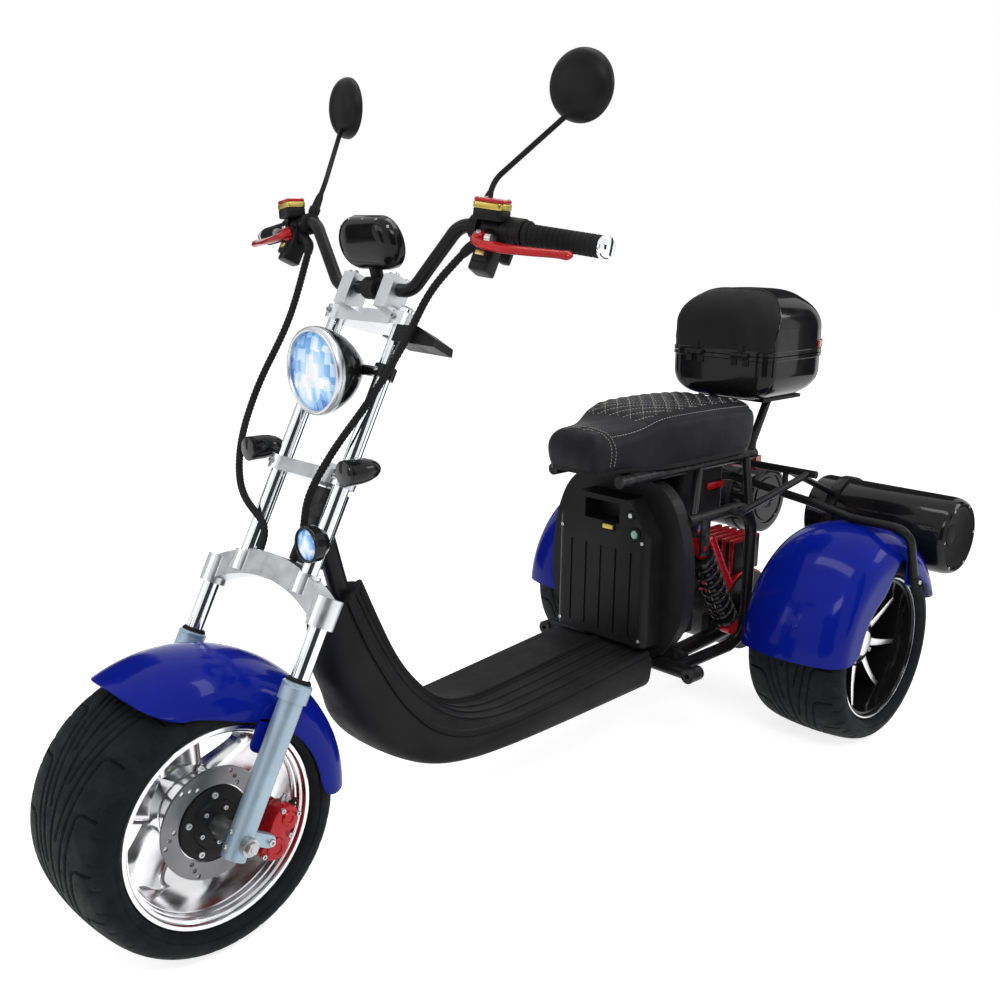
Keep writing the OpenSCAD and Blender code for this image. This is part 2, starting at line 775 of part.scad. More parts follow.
module brake_caliper() color(red) placed() {
    jaw = hub_d / 2 + disc_flange_w + fit + run_gap;
    body_x = -disc_d / 2 - 2 * disc_seat;
    difference() {
        translate([wheelbase, 0, axle_z]) rotate([0, -rake, 0]) {
            translate([0, disc_z - 2 * disc_seat, 0]) rotate([-90, 0, 0])
                linear_extrude(4 * disc_seat + disc_t)
                polygon(rounded(body_x, -jaw, -3 * slider_foot / 2, slider_foot, disc_seat));
            hold_x = body_x + disc_seat;
            hold_y = disc_z + disc_t + 2 * run_gap;
            translate([hold_x, hold_y, -slider_foot / 2])
                cube([-slider_d / 2 - fit - hold_x, leg_y - hold_y, slider_foot]);
        }
        wheel_axes(wheelbase, 0, 1) {
            translate([0, 0, disc_z - run_gap * 2])
                cylinder(d = disc_d + 4 * run_gap, h = disc_t + 4 * run_gap);
            cylinder(r = jaw, h = hub_half + 3 * run_gap);
        }
        fork_axes() across(spacer_d + 2 * fit, 0, leg_y);
    }
}

// Front fender

// Middle of a fender's shoulder curve: radius first, then the place across the tyre
function shoulder_mid(crown_r, half) = let (across_r = half - fender_round, bow_r = crown_bow - fender_round)
    [crown_r - crown_bow + sqrt(bow_r * bow_r - across_r * across_r), across_r];
function fender_ring(crown_r, half, skirt_r, lip_r, grow) =
    let (mid = shoulder_mid(crown_r, half), lean = atan2(mid.y, mid.x - crown_r + crown_bow)) concat(
        [[skirt_r, -half - grow]], arc([mid.x, -mid.y], fender_round + grow, -90, -lean),
        arc([crown_r - crown_bow, 0], crown_bow + grow, -lean, lean), arc(mid, fender_round + grow, lean, 90),
        [[lip_r, half + grow]]);

module fender_shell(from, to, crown_r, half, skirt_r, lip_r) rotate(from)
    rotate_extrude(angle = to - from, $fn = 64) polygon(concat(
        fender_ring(crown_r, half, skirt_r, lip_r, fender_t),
        reversed(fender_ring(crown_r, half, skirt_r, lip_r, 0))));

module front_fender() color(blue) placed() {
    half = fender_half_w - fender_t;
    difference() {
        fender_axes(wheelbase, 0) fender_shell(
            front_from_angle, front_to_angle, front_fender_r, half, front_skirt_r, front_skirt_r);
        translate([wheelbase - over, -2 * leg_y, 0])
            cube([2 * fender_r, 4 * leg_y, axle_z + front_skirt_r + front_lip]);
    }
    fork_axes() both_sides() {
        side_view(half, fender_half_w)
            polygon(rounded(-tab_w / 2, tab_w / 2, tab_low, front_skirt_r + front_lip, tab_w / 3));
        translate([0, 0, stay_up]) across(stay_d, half, leg_y - slider_d / 2 - fit);
        translate([0, 0, tab_low + stay_d]) across(stay_d, half, leg_y - slider_d / 2 - fit);
    }
}

// Handlebar

module handlebar() color(steel) placed() fork_axes() both_sides()
    pipe([[bar_x, 0, bar_z], [bar_x, bar_elbow_y, bar_z], bar_bend, bar_end], bar_d, bar_bend_r);

module grips() color(black) placed() fork_axes() both_sides() difference() {
    union() {
        rod(bar_end - grip_way * grip_l, bar_end, grip_d);
        rod(bar_end - grip_way * fit, bar_end + grip_way * bar_cap_l, grip_d - bar_d / 3);
    }
    rod(bar_end - grip_way * (grip_l + over), bar_end + grip_way * fit, bar_d + 2 * fit);
}

// Axes at a place along the bar's outer stretch: X across it, Y along it
module along_bar(distance) translate(bar_bend + grip_way * distance)
    rotate([0, 0, atan2(grip_way.y, grip_way.x) - 90]) children();

module bar_controls() color(black) placed() fork_axes() both_sides() along_bar(perch_at) difference() {
    union() {
        across(bar_d + 2 * perch_wall, -perch_l / 2, perch_l / 2);
        rotate([0, lever_drop_angle, 0]) translate([0, -lever_w / 2, -lever_t])
            cube([lever_gap - lever_t, lever_w, 2 * lever_t]);
        rotate([0, rake, 0]) translate([0, -reservoir_l / 2, bar_d / 2 + perch_wall / 2])
            cube([reservoir_w, reservoir_l, reservoir_h]);
        translate([0, perch_l / 2 - over, 0]) across(switch_d, 0, switch_l);
        translate([-switch_w / 2, -perch_l / 2, -bar_d / 2 - switch_drop])
            cube([switch_w, perch_l, switch_drop]);
        translate([0, -reservoir_l / 2 - mirror_collar_l - fit, 0])
            across(bar_d + 2 * perch_wall, 0, mirror_collar_l + reservoir_l / 2 - perch_l / 2 + over);
    }
    across(bar_d + 2 * fit, -2 * reservoir_l, 2 * switch_l);
}

module brake_levers() color(red) placed() fork_axes() both_sides() along_bar(perch_at) {
    rotate([0, lever_drop_angle, 0]) translate([lever_gap - lever_t + fit, -lever_w, -lever_t / 2])
        linear_extrude(lever_t) polygon([
            [0, 0], [lever_w, 0], [lever_w * 2, lever_l / 3], [lever_w, lever_l],
            [0, lever_l], [lever_t, lever_l / 3], [0, 2 * lever_w]]);
    rotate([0, rake, 0]) translate([0, -reservoir_l / 2, bar_d / 2 + perch_wall / 2 + reservoir_h])
        cube([reservoir_w, reservoir_l, lid_t]);
}

module mirrors() color(black) placed() fork_axes() both_sides() {
    pipe([mirror_foot, mirror_foot + [0, 0, mirror_knee_up], mirror_at], stem_rod_d, bar_d);
    level_at(mirror_at) rotate([0, 90, mirror_turn_angle]) difference() {
        face = -mirror_depth / 2;
        rotate_extrude() polygon(concat([[0, face], [mirror_d / 2, face]],
            arc([mirror_d / 2 - mirror_depth, mirror_rim + face], mirror_depth - mirror_rim, 0, 90),
            [[0, -face]]));
        translate([0, 0, face - over]) cylinder(d = mirror_d - 2 * mirror_rim, h = glass_t + over);
    }
}

module mirror_glasses() color(silver) placed() fork_axes() both_sides()
    level_at(mirror_at) rotate([0, 90, mirror_turn_angle]) translate([0, 0, -mirror_depth / 2])
        cylinder(d = mirror_d - 2 * mirror_rim - 2 * fit, h = glass_t);

// Lamps and display

module headlamp_axes() fork_axes() level_at([lamp_ahead, 0, lamp_up]) rotate([0, 90, 0]) children();

module headlamp_shell() color(black) placed() headlamp_axes() {
    rotate_extrude() polygon([
        [0, -headlamp_depth], [lamp_back_d / 2, -headlamp_depth],
        [headlamp_d / 2 - lamp_rim_w / 2, -headlamp_depth / 2], [headlamp_d / 2, -lamp_rim_t],
        [0, -lamp_rim_t]]);
    stay_half = tube_y - tube_d / 2 - fit;
    translate([0, 0, -lamp_stay_back]) across(lamp_stay_d, -stay_half, stay_half);
}

module headlamp_rim() color(silver) placed() headlamp_axes() translate([0, 0, -lamp_rim_t]) difference() {
    cylinder(d = headlamp_d, h = lamp_rim_t);
    translate([0, 0, -over]) cylinder(d = headlamp_d - 2 * lamp_rim_w, h = lamp_rim_t + 2 * over);
}

module headlamp_lens() color(glow) placed() headlamp_axes() {
    lens_r = headlamp_d / 2 - lamp_rim_w - fit;
    ball_r = (lens_r * lens_r + lens_bulge * lens_bulge) / (2 * lens_bulge);
    rotate_extrude() polygon(concat([[0, -lamp_rim_t], [lens_r, -lamp_rim_t]],
        arc([0, lens_bulge - ball_r - lamp_rim_t / 2], ball_r, acos(lens_r / ball_r), 90)));
}

// A short arm that leaves the left upper tube squarely and ends at a place beside it
module tube_stay(p) {
    out = unit([p.x, p.y - tube_y, 0]);
    rod([0, tube_y, p.z] + out * (tube_d / 2 + fit), p, signal_stay_d);
}

module fog_lamp() color(black) placed() fork_axes() {
    level_at(fog_at) rotate([0, 90, 0]) rotate_extrude() polygon([
        [0, -fog_depth], [fog_d / 3, -fog_depth], [fog_d / 2, -fog_depth / 2], [fog_d / 2, 0], [0, 0]]);
    tube_stay(fog_at - [fog_depth / 3, 0, 0]);
}

module turn_signals() color(black) placed() fork_axes() both_sides() {
    signal_at = [bar_x, tube_y + signal_out, mid_clamp_z + signal_up];
    level_at(signal_at) rotate([0, 90, 0]) rotate_extrude() polygon([
        [0, -signal_l / 2], [signal_d / 4, -signal_l / 2], [signal_d / 2, 0],
        [signal_d / 2, signal_l / 2], [0, signal_l / 2]]);
    tube_stay(signal_at);
}

module horn_box() color(black) placed() fork_axes()
    translate([-horn_w / 2, tube_y + tube_d / 2 + fit, top_clamp_z - clamp_t / 2 - fit - horn_h])
        rotate([90, 0, 90]) linear_extrude(horn_w) polygon(scaled(horn_shares, [horn_l, horn_h]));

module display_pod() color(black) placed() fork_axes() difference() {
    union() {
        pod_z = bar_z + bar_d / 2 + pod_clear + pod_h / 2;
        translate([pod_x, 0, pod_z]) rotate([0, pod_tilt_angle + 90, 0]) linear_extrude(pod_t)
            polygon(rounded(-pod_h / 2, pod_h / 2, -pod_w / 2, pod_w / 2, pod_h / 2 - over));
        translate([bar_x, 0, bar_z]) across(bar_d + 2 * perch_wall, -pod_stay_w / 2, pod_stay_w / 2);
        rod([bar_x, 0, bar_z], [pod_x + pod_t / 2, 0, pod_z], pod_stay_w - perch_wall);
    }
    translate([bar_x, 0, bar_z]) across(bar_d + 2 * fit, -pod_stay_w, pod_stay_w);
}

// Wiring looms: the left one hugs the bar and the tube, the right one hangs out in a bow
module cable_looms() color(black) placed() fork_axes() {
    pipe(left_loom, loom_d, loom_bend);
    pipe(right_loom, loom_d, loom_bend);
}

// Floor cover: a loft through the neck's stations and the two ends of the footboard

function neck_at(x_share, z_share) = [neck_ref - x_share * neck_run, belly_z + z_share * (neck_z - belly_z)];
function neck_middle(s) = let (p = (neck_at(s[0], s[1]) + neck_at(s[5], s[6])) / 2) [p.x, 0, p.y];
function station(crest, ridge, belly, ridge_y, belly_y, flat) =
    let (half = [
        [crest.x, ridge_y * flat, crest.y], [ridge.x, ridge_y, ridge.y], [belly.x, belly_y, belly.y]])
    concat(half, [for (p = reversed(half)) [p.x, -p.y, p.z]]);
function neck_station(s) = let (y = neck_half_w + s[4] * (floor_half_w - neck_half_w))
    station(neck_at(s[0], s[1]), neck_at(s[2], s[3]), neck_at(s[5], s[6]), y, y * s[7], s[8]);
function floor_station(x, z) = station([x[0], z], [x[1], z - floor_edge], [x[2], belly_z],
    floor_half_w, floor_half_w * belly_share, floor_flat_share);
function middle(ring) = [for (k = [0 : 2]) (max([for (p = ring) p[k]]) + min([for (p = ring) p[k]])) / 2];
function extent(ring) = [for (k = [0 : 2]) (max([for (p = ring) p[k]]) - min([for (p = ring) p[k]])) / 2];
function shrunk(ring, inset) = let (mid = middle(ring), half = extent(ring)) [for (p = ring)
    [for (k = [0 : 2]) mid[k] + (p[k] - mid[k]) * (half[k] > inset ? 1 - inset / half[k] : 1)]];
function moved(ring, way) = [for (p = ring) p + way];

// A closed skin through rings of equal length, with a fan on each end
module loft(rings) {
    n = len(rings[0]);
    m = len(rings);
    points = concat([for (r = rings) each r], [middle(rings[0]), middle(rings[m - 1])]);
    polyhedron(points, concat(
        [for (i = [0 : m - 2], j = [0 : n - 1]) each [
            [(i + 1) * n + j, i * n + (j + 1) % n, i * n + j],
            [(i + 1) * n + j, (i + 1) * n + (j + 1) % n, i * n + (j + 1) % n]]],
        [for (j = [0 : n - 1]) [j, (j + 1) % n, n * m]],
        [for (j = [0 : n - 1]) [(m - 1) * n + (j + 1) % n, (m - 1) * n + j, n * m + 1]]));
}

module cover_skin(inset) {
    last = len(stations) - 1;
    rings = [for (r = stations) shrunk(cut_ring(cut_ring(r)), inset)];
    way = unit(middle(stations[1]) - middle(stations[0]));
    loft([for (i = [0 : last]) i == 0 ? moved(rings[i], way * 2 * inset)
        : i == last && inset > 0 ? moved(rings[i], [-over, 0, 0]) : rings[i]]);
}

// A strip that stands on the footboard from its rear end to where the neck begins
module floor_strip(y, w, h) side_view(y - w / 2, y + w / 2) {
    front_x = floor_rear + (floor_front[0] - floor_rear) * floor_line_share;
    front_z = floor_z + floor_rise * (1 - floor_line_share);
    polygon([[floor_rear, floor_z + floor_rise - cover_t / 2], [front_x, front_z - cover_t / 2],
        [front_x, front_z + h / 3], [front_x - h, front_z + h], [floor_rear, floor_z + floor_rise + h]]);
}

module floor_cover() color(black) placed() {
    difference() {
        cover_skin(0);
        cover_skin(cover_t);
        spine(spine_d + 2 * fit);
    }
    for (i = [0 : rib_count - 1]) floor_strip((i - (rib_count - 1) / 2) * rib_pitch, rib_w, rib_h);
    for (side = [-1, 1])
        floor_strip(side * (floor_half_w * floor_flat_share - floor_rim_w / 2), floor_rim_w, floor_rim_h);
}

// Battery

// The battery's outline from the front, or that of the opening it fits
function battery_face(gap) = let (half = [for (p = battery_face_shares)
    [p.x * battery_w + gap, battery_z - gap + p.y * (battery_h + 2 * gap)]])
    concat(half, reversed([for (p = half) [-p.x, p.y]]));

module battery_surround() color(black) placed() front_view(surround_x, surround_front) difference() {
    polygon(concat(surround_half, reversed([for (p = surround_half) [-p.x, p.y]])));
    polygon(battery_face(fit));
}

// The battery's rear end, behind the surround, fits between the springs
module battery_case() color(black) placed() {
    rear_half = loop_y - spring_d / 2 - shock_gap;
    difference() {
        intersection() {
            translate([0, 0, battery_z]) linear_extrude(battery_h)
                polygon(rounded(battery_neck, battery_x1, -battery_w / 2, battery_w / 2, battery_round));
            front_view(battery_neck, battery_x1) polygon(battery_face(0));
        }
        groove_pitch = battery_w / (battery_grooves + 1);
        for (i = [0 : battery_grooves - 1]) translate([battery_x1 - battery_groove_d,
            (i - (battery_grooves - 1) / 2) * groove_pitch - battery_groove_w / 2, battery_z + battery_round])
            cube([battery_groove_d + over, battery_groove_w, battery_h * groove_share]);
        translate([battery_x1 - handle_d, -handle_w / 2, battery_z + battery_h - handle_bar - handle_h])
            cube([handle_d + over, handle_w, handle_h]);
    }
    translate([battery_x0, -rear_half, battery_z])
        cube([surround_x - fit - battery_x0, 2 * rear_half, battery_h * battery_face_shares[1].y]);
}

module underseat_box() color(black) placed()
    translate([0, 0, seat_z - pan_t - fit - under_h]) linear_extrude(under_h)
        polygon(rounded(battery_x0 - fit - under_l, battery_x0 - fit, -rail_y + frame_d / 2 + fit,
            rail_y - frame_d / 2 - fit, under_round));

// Seat

module seat_plan(inset) polygon(mirrored([for (p = smooth(seat_plan_shares))
    [seat_x0 + inset + p.x * (seat_l - 2 * inset), -p.y * (seat_half_w - inset)]]));

module seat_pan() color(black) placed() translate([0, 0, seat_z - pan_t])
    linear_extrude(pan_t - fit) seat_plan(pan_inset);

module seat_cushion() color(leather) placed() intersection() {
    translate([0, 0, seat_z]) linear_extrude(2 * seat_h) seat_plan(0);
    side_view(-seat_half_w, seat_half_w) polygon(concat([[seat_x0, seat_z], [seat_x0 + seat_l, seat_z]],
        [for (p = smooth(seat_top_shares)) [seat_x0 + p.x * seat_l, seat_z + p.y * seat_h]]));
    front_view(seat_x0, seat_x0 + seat_l) polygon(cornered(-seat_half_w, seat_half_w, seat_z, seat_z + seat_h,
        [pan_t, seat_round, seat_round, pan_t]));
}

// Welded frame

// The spine follows the middle of the neck cover from the head tube to the floor rails
module spine(d) {
    head = from_fork([-stem_offset, 0, head_z0 + (head_z1 - head_z0) * spine_head_share]);
    waist = neck_middle(neck_shares[2]);
    heel = neck_middle(neck_shares[4]);
    pipe([head, waist, heel, [spine_x, 0, spine_z]], d, spine_bend);
}

module main_frame() color(black) placed() difference() {
    union() {
        fork_axes() translate([-stem_offset, 0, head_z0]) cylinder(d = head_d, h = head_z1 - head_z0);
        spine(spine_d);
        translate([spine_x, 0, spine_z])
            across(frame_d, -floor_rail_y - frame_d / 2, floor_rail_y + frame_d / 2);
        translate([cross_x, 0, loop_z0]) across(frame_d, -lug_y, lug_y);
        for (side = [-1, 1]) {
            rod([spine_x, side * floor_rail_y, spine_z], [cross_x, side * floor_rail_y, loop_z0], loop_d);
            y = side * loop_y;
            rod([loop_x0, y, loop_z1 - loop_bend_r], [rail_rear + frame_d, side * rail_y, rail_z], upright_d);
            translate([cross_x - lug_l / 2, side * lug_y, loop_z0]) rotate([0, 90, 0])
                cylinder(d = lug_d, h = lug_l);
            pipe([[cross_x, y, loop_z0], [loop_x0, y, loop_z0], [loop_x0, y, loop_z1], [loop_x1, y, loop_z1]],
                loop_d, loop_bend_r);
            rod([upright_x, y, loop_z1], [strut_x, side * rail_y, rail_z], upright_d);
            rod([rail_rear, side * rail_y, rail_z], [rail_front, side * rail_y, rail_z], rail_d);
            cheek_z = shock_top.y - eye_d / 2;
            for (cheek = [-1, 1]) let (cheek_y = y + cheek * (eye_l / 2 + fit + cheek_t / 2) - cheek_t / 2)
                translate([shock_top.x - eye_d / 2, cheek_y, cheek_z])
                cube([eye_d, cheek_t, loop_z1 - cheek_z]);
        }
        for (x = [rail_rear + frame_d, upright_x])
            translate([x, 0, rail_z]) across(upright_d, -rail_y, rail_y);
    }
    fork_axes() translate([-stem_offset, 0, head_z0 - over])
        cylinder(d = stem_d + 2 * run_gap, h = head_z1 - head_z0 + 2 * over);
    for (side = [-1, 1]) translate([cross_x - lug_l / 2 - over, side * lug_y, loop_z0])
        rotate([0, 90, 0]) cylinder(d = lug_bore_d, h = lug_l + 2 * over);
    translate([shock_top.x, 0, shock_top.y]) across(shock_pin_d + 2 * fit, -2 * loop_y, 2 * loop_y);
}

// Rear axle with its drive unit and swing arms

module rear_axle() color(black) placed() {
    translate([0, 0, axle_z]) {
        across(housing_d, -housing_half, housing_half);
        across(drive_d, -drive_l / 2, drive_l / 2);
        stub = track / 2 + rear_hub_out - rear_cap - run_gap * 2;
        across(rear_stub_d, -stub, stub);
    }
    for (side = [-1, 1]) {
        rod([0, side * arm_y, axle_z], [pivot_x, side * arm_y, loop_z0], arm_d);
        translate([shock_low.x - eye_d / 2, side * arm_y - arm_d / 4, axle_z - arm_d / 2])
            cube([eye_d, arm_d / 2, shock_low.y + eye_d / 2 - axle_z + arm_d / 2]);
        ear_end = loop_y - eye_l / 2 - fit;
        translate([shock_low.x, side * (arm_y + ear_end) / 2, shock_low.y])
            across(eye_d - cheek_t, (arm_y - ear_end) / 2, (ear_end - arm_y) / 2);
    }
    translate([pivot_x, 0, loop_z0]) across(pivot_d, loop_d / 2 + fit - loop_y, loop_y - loop_d / 2 - fit);
}

function shock_point(p, y) = [p.x, y, p.y];

module shock_dampers() color(red) placed() for (side = [-1, 1]) {
    top = shock_point(shock_top, side * loop_y);
    low = shock_point(shock_low, side * loop_y);
    rod(low, top, damper_d);
    for (p = [top, low]) translate(p) across(eye_d + cheek_t, -eye_l / 2, eye_l / 2);
    translate(top) across(shock_pin_d, -eye_l / 2 - cheek_t, eye_l / 2 + cheek_t);
    // The side reservoir hangs behind the spring from a neck at the upper eye
    way = unit(low - top);
    back = [way.z, 0, -way.x] * reservoir_off;
    rod(top + back + way * eye_d / 2, top + back + way * norm(low - top) * reservoir_from_share, reservoir_d);
    rod(top, top + back + way * eye_d / 2, reservoir_d - cheek_t);
}

module shock_springs() color(black) placed() for (side = [-1, 1]) {
    top = shock_point(shock_top, side * loop_y);
    low = shock_point(shock_low, side * loop_y);
    way = unit(top - low);
    spring_l = norm(top - low) - 2 * eye_d;
    pitch = spring_l / spring_turns;
    coils = [for (i = [0 : 2 * spring_turns]) [spring_d / 2 - (i % 2 == 0 ? spring_wire : 0), i * pitch / 2]];
    bore_r = damper_d / 2 + fit;
    translate(low + way * eye_d) rotate([0, acos(way.z), atan2(way.y, way.x)]) rotate_extrude()
        polygon(concat([[bore_r, 0]], coils, [[bore_r, spring_l]]));
}

// Rear fenders, built for the left side

module rear_fender() difference() {
    fender_axes(0, track / 2) fender_shell(rear_from_angle, rear_to_angle, fender_r, fender_half_w - fender_t,
        rear_skirt_r, rear_lip_r);
    side_view(track / 2 + tyre_w / 2 + fit, track / 2 + tyre_w) polygon([
        [rear_skirt_r, 0], [rear_skirt_r, axle_z + skirt_rise], [-fender_gap / 3, axle_z + skirt_cut_r],
        [-fender_r, axle_z + fender_gap], [-fender_r, 0]]);
}

module rear_fender_left() color(blue) placed() rear_fender();
module rear_fender_right() color(blue) placed() mirror([0, 1, 0]) rear_fender();

// Rack and loudspeakers

module rear_rack() color(black) placed() both_sides() {
    end_y = track / 2 + fender_half_w + rack_d / 2 + fit;
    pipe([[-rack_d / 2, 0, bar_z_rear + arch_up], [-rack_d / 2, track / 2 - tyre_w / 2, bar_z_rear + rack_d],
        [-rack_d / 2, track / 2, bar_z_rear], [-rack_d / 2, end_y, bar_z_rear],
        [-rack_d * 3, end_y, axle_z + rear_skirt_r]], rack_d, rack_d * 2);
    translate([-rack_d / 2, 0, bar_z_rear + rail_up]) across(rack_rail_d, 0, rack_half);
    for (y = [post_y, post_outer_y])
        rod([-rack_d / 2, y, bar_z_rear + rack_d], [-rack_d / 2, y, bar_z_rear + rail_up], post_d);
    brace_x = loop_x0 + loop_bend_r + frame_d;
    brace_y = loop_y + frame_d;
    rod([-rack_d / 2, rack_half - rack_d, bar_z_rear + rail_up], [brace_x, brace_y, loop_z1], brace_d);
    translate([brace_x, 0, loop_z1]) across(rack_d, loop_y + loop_d / 2 + fit, brace_y + brace_d / 2);
    translate([speaker_x, hoop_y, speaker_z]) difference() {
        reach = (speaker_d / 2 + hoop_t) / sqrt(2) - hoop_t;
        union() {
            across(speaker_d + 2 * hoop_t, -hoop_w / 2, hoop_w / 2);
            rod([-rack_d / 2 - speaker_x, 0, bar_z_rear + rail_up - speaker_z], [reach, 0, reach], brace_d);
        }
        across(speaker_d + 2 * fit, -hoop_w, hoop_w);
    }
}

module tube_speakers() color(black) placed() both_sides() translate([speaker_x, speaker_inner, speaker_z])
    rotate([-90, 0, 0]) rotate_extrude() let (r = speaker_d / 2, end = speaker_l - speaker_cone) polygon([
        [0, 0], [r - speaker_lip, 0], [r, speaker_lip], [r, speaker_l - speaker_lip],
        [r - speaker_lip, speaker_l], [r - 2 * speaker_lip, speaker_l - speaker_lip / 2],
        [r / 2, end], [0, end]]);

module tail_lamp() color(red) placed()
    translate([-rack_d / 2 - rack_rail_d / 2 - fit - tail_t, -tail_w / 2, bar_z_rear + rail_up - tail_h / 2])
        cube([tail_t, tail_w, tail_h]);

// Top box

module box_bracket() color(black) placed() {
    translate([box_x0 + (box_l - bracket_l) / 2, -bracket_y - bracket_post_d, box_z - bracket_t - fit])
        cube([bracket_l, 2 * (bracket_y + bracket_post_d), bracket_t]);
    foot = [rail_rear + bracket_post_d / 2, rail_y, rail_z + rail_d / 2 + fit];
    both_sides() {
        translate(foot) cylinder(d = bracket_post_d, h = bracket_post_d);
        rod(foot + [0, 0, bracket_post_d / 2], [box_x1 - bracket_reach, bracket_y, box_z - bracket_t],
            bracket_post_d - 2 * over);
    }
}

module box_form(inset) {
    rear_r = box_r - inset;
    front_r = box_front_r - inset;
    top_r = box_top_r - inset;
    low_r = box_low_r - inset;
    x0 = box_x0 + inset;
    x1 = box_x1 - inset;
    z0 = box_z + inset;
    z1 = box_top - inset;
    half = box_w / 2 - inset;
    intersection() {
        linear_extrude(box_top) polygon(cornered(x0, x1, -half, half, [front_r, front_r, rear_r, rear_r]));
        side_view(-box_w, box_w) polygon(cornered(x0, x1, z0, z1, [front_r, top_r, rear_r, low_r]));
        front_view(box_x0, box_x1) polygon(cornered(-half, half, z0, z1, [low_r, top_r, top_r, low_r]));
    }
}

module box_half(z0, z1) intersection() {
    difference() {
        box_form(0);
        box_form(box_wall);
    }
    translate([box_x0 - over, -box_w, z0]) cube([box_l + 2 * over, 2 * box_w, z1 - z0]);
}

// Knuckles of the lid's hinges, a third of a hinge long each: the two outer ones and the pin stay,
// the middle one lifts
module hinge_knuckle(y, up) translate([hinge_x, y, box_seam]) {
    half = hinge_l / 6 - fit;
    across(hinge_d, -half, half);
    translate([-hinge_d / 2 - fit - over, -half, up ? seam_gap / 2 : -hinge_leaf_h - seam_gap / 2])
        cube([hinge_leaf_t + fit + over, 2 * half, hinge_leaf_h]);
}

module top_box_base() color(black) placed() {
    box_half(box_z - over, box_seam - seam_gap / 2);
    for (side = [-1, 1]) {
        for (k = [-1, 1]) hinge_knuckle(side * hinge_y + k * hinge_l / 3, false);
        translate([hinge_x, side * hinge_y, box_seam]) across(hinge_pin_d, -hinge_l / 2, hinge_l / 2);
    }
}

module top_box_lid() color(black) placed() {
    box_half(box_seam + seam_gap / 2, box_top + over);
    for (side = [-1, 1]) difference() {
        hinge_knuckle(side * hinge_y, true);
        translate([hinge_x, side * hinge_y, box_seam])
            across(hinge_pin_d + 2 * fit, -hinge_l / 2, hinge_l / 2);
    }
}

module lid_reflector() color(red) placed()
    translate([box_x0 - reflector_t - fit, -reflector_w / 2, box_seam + seam_gap * 2])
        cube([reflector_t, reflector_w, reflector_h]);

main_frame();
floor_cover();
battery_surround();
battery_case();
underseat_box();
seat_pan();
seat_cushion();
rear_rack();
box_bracket();
top_box_base();
rear_axle();
shock_dampers();
shock_springs();
rear_fender_left();
rear_fender_right();
tube_speakers();
tail_lamp();
steering_stem();
fork_bridge();
fork_sliders();
fork_tubes();
fork_clamps();
front_axle();
front_fender();
brake_caliper();
headlamp_shell();
headlamp_rim();
headlamp_lens();
fog_lamp();
turn_signals();
horn_box();
display_pod();
handlebar();
grips();
brake_levers();
bar_controls();
mirrors();
mirror_glasses();
cable_looms();
front_tyre();
front_rim();
front_disc();
rear_tyre_left();
rear_rim_left();
rear_tyre_right();
rear_rim_right();
top_box_lid();
lid_reflector();
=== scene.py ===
"""Looks of a three-wheeled electric cruiser: its finishes, and the pieces that stand for its plain solids.

Tables are in millimetres, in the source's axes: X ahead of the rear axle, Y to the left, Z up from the floor.
Places on the fork are in its own raked axes, from the front axle. What is built from them is in metres.
"""

import math
from functools import cached_property

import bmesh
import bpy
import numpy as np
from mathutils import Matrix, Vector
from mathutils.bvhtree import BVHTree


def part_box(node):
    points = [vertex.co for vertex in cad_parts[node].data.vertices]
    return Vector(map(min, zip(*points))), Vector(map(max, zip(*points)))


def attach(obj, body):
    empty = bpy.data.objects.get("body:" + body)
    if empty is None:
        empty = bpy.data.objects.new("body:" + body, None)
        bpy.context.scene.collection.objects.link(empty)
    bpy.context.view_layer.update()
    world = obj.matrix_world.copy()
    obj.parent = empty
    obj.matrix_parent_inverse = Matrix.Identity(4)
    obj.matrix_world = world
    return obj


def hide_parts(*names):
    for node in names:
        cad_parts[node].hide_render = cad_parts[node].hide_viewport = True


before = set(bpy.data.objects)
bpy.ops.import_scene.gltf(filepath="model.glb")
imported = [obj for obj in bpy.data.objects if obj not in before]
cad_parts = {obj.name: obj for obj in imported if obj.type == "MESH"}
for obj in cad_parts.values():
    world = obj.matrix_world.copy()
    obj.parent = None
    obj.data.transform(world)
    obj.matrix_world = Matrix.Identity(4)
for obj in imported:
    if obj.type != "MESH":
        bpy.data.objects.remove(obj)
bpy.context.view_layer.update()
scene = bpy.context.scene


def middle(node):
    """The middle of a CAD node's box."""
    low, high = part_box(node)
    return (np.array(low) + np.array(high)) / 2


MM, PI, TAU = 0.001, math.pi, 2 * math.pi
CORE = 0.01  # the radius at which a turned form closes on its axis
RAKE = math.radians(27)
REAR_X, TRACK_Y, AXLE_Z = middle("rear_tyre_left")
FRONT_X = middle("front_tyre")[0]
WHEELBASE, TRACK = 1495, 650
FRONT_HUB, REAR_HUB = (FRONT_X, 0, AXLE_Z), (REAR_X, 0, AXLE_Z)
AHEAD, SIDE, UP = np.eye(3)
FORK_X = np.array([math.cos(RAKE), 0, math.sin(RAKE)])
FORK_Z = np.array([-math.sin(RAKE), 0, math.cos(RAKE)])
LENGTHWISE, CROSSWISE = (AHEAD, SIDE, UP), (SIDE, AHEAD, UP)
BOTH_SIDES, SIDES = (-1, 1), ((1, "left"), (-1, "right"))


def at(x, y, z):
    """A place in the source's axes."""
    return np.array([REAR_X + x * MM, y * MM, z * MM])


def all_at(points):
    """A table of places in the source's axes."""
    return np.asarray(points, float) * MM + [REAR_X, 0, 0]


def wheel_at(side):
    """The middle of a rear wheel."""
    return np.array([REAR_X, side * TRACK_Y, AXLE_Z])


def fork_way(x, y, z):
    """A direction in the fork's axes."""
    return FORK_X * x + SIDE * y + FORK_Z * z


def fork(x, y, z):
    """A place in the fork's axes."""
    return np.array(FRONT_HUB) + fork_way(x, y, z) * MM


# Lines and directions


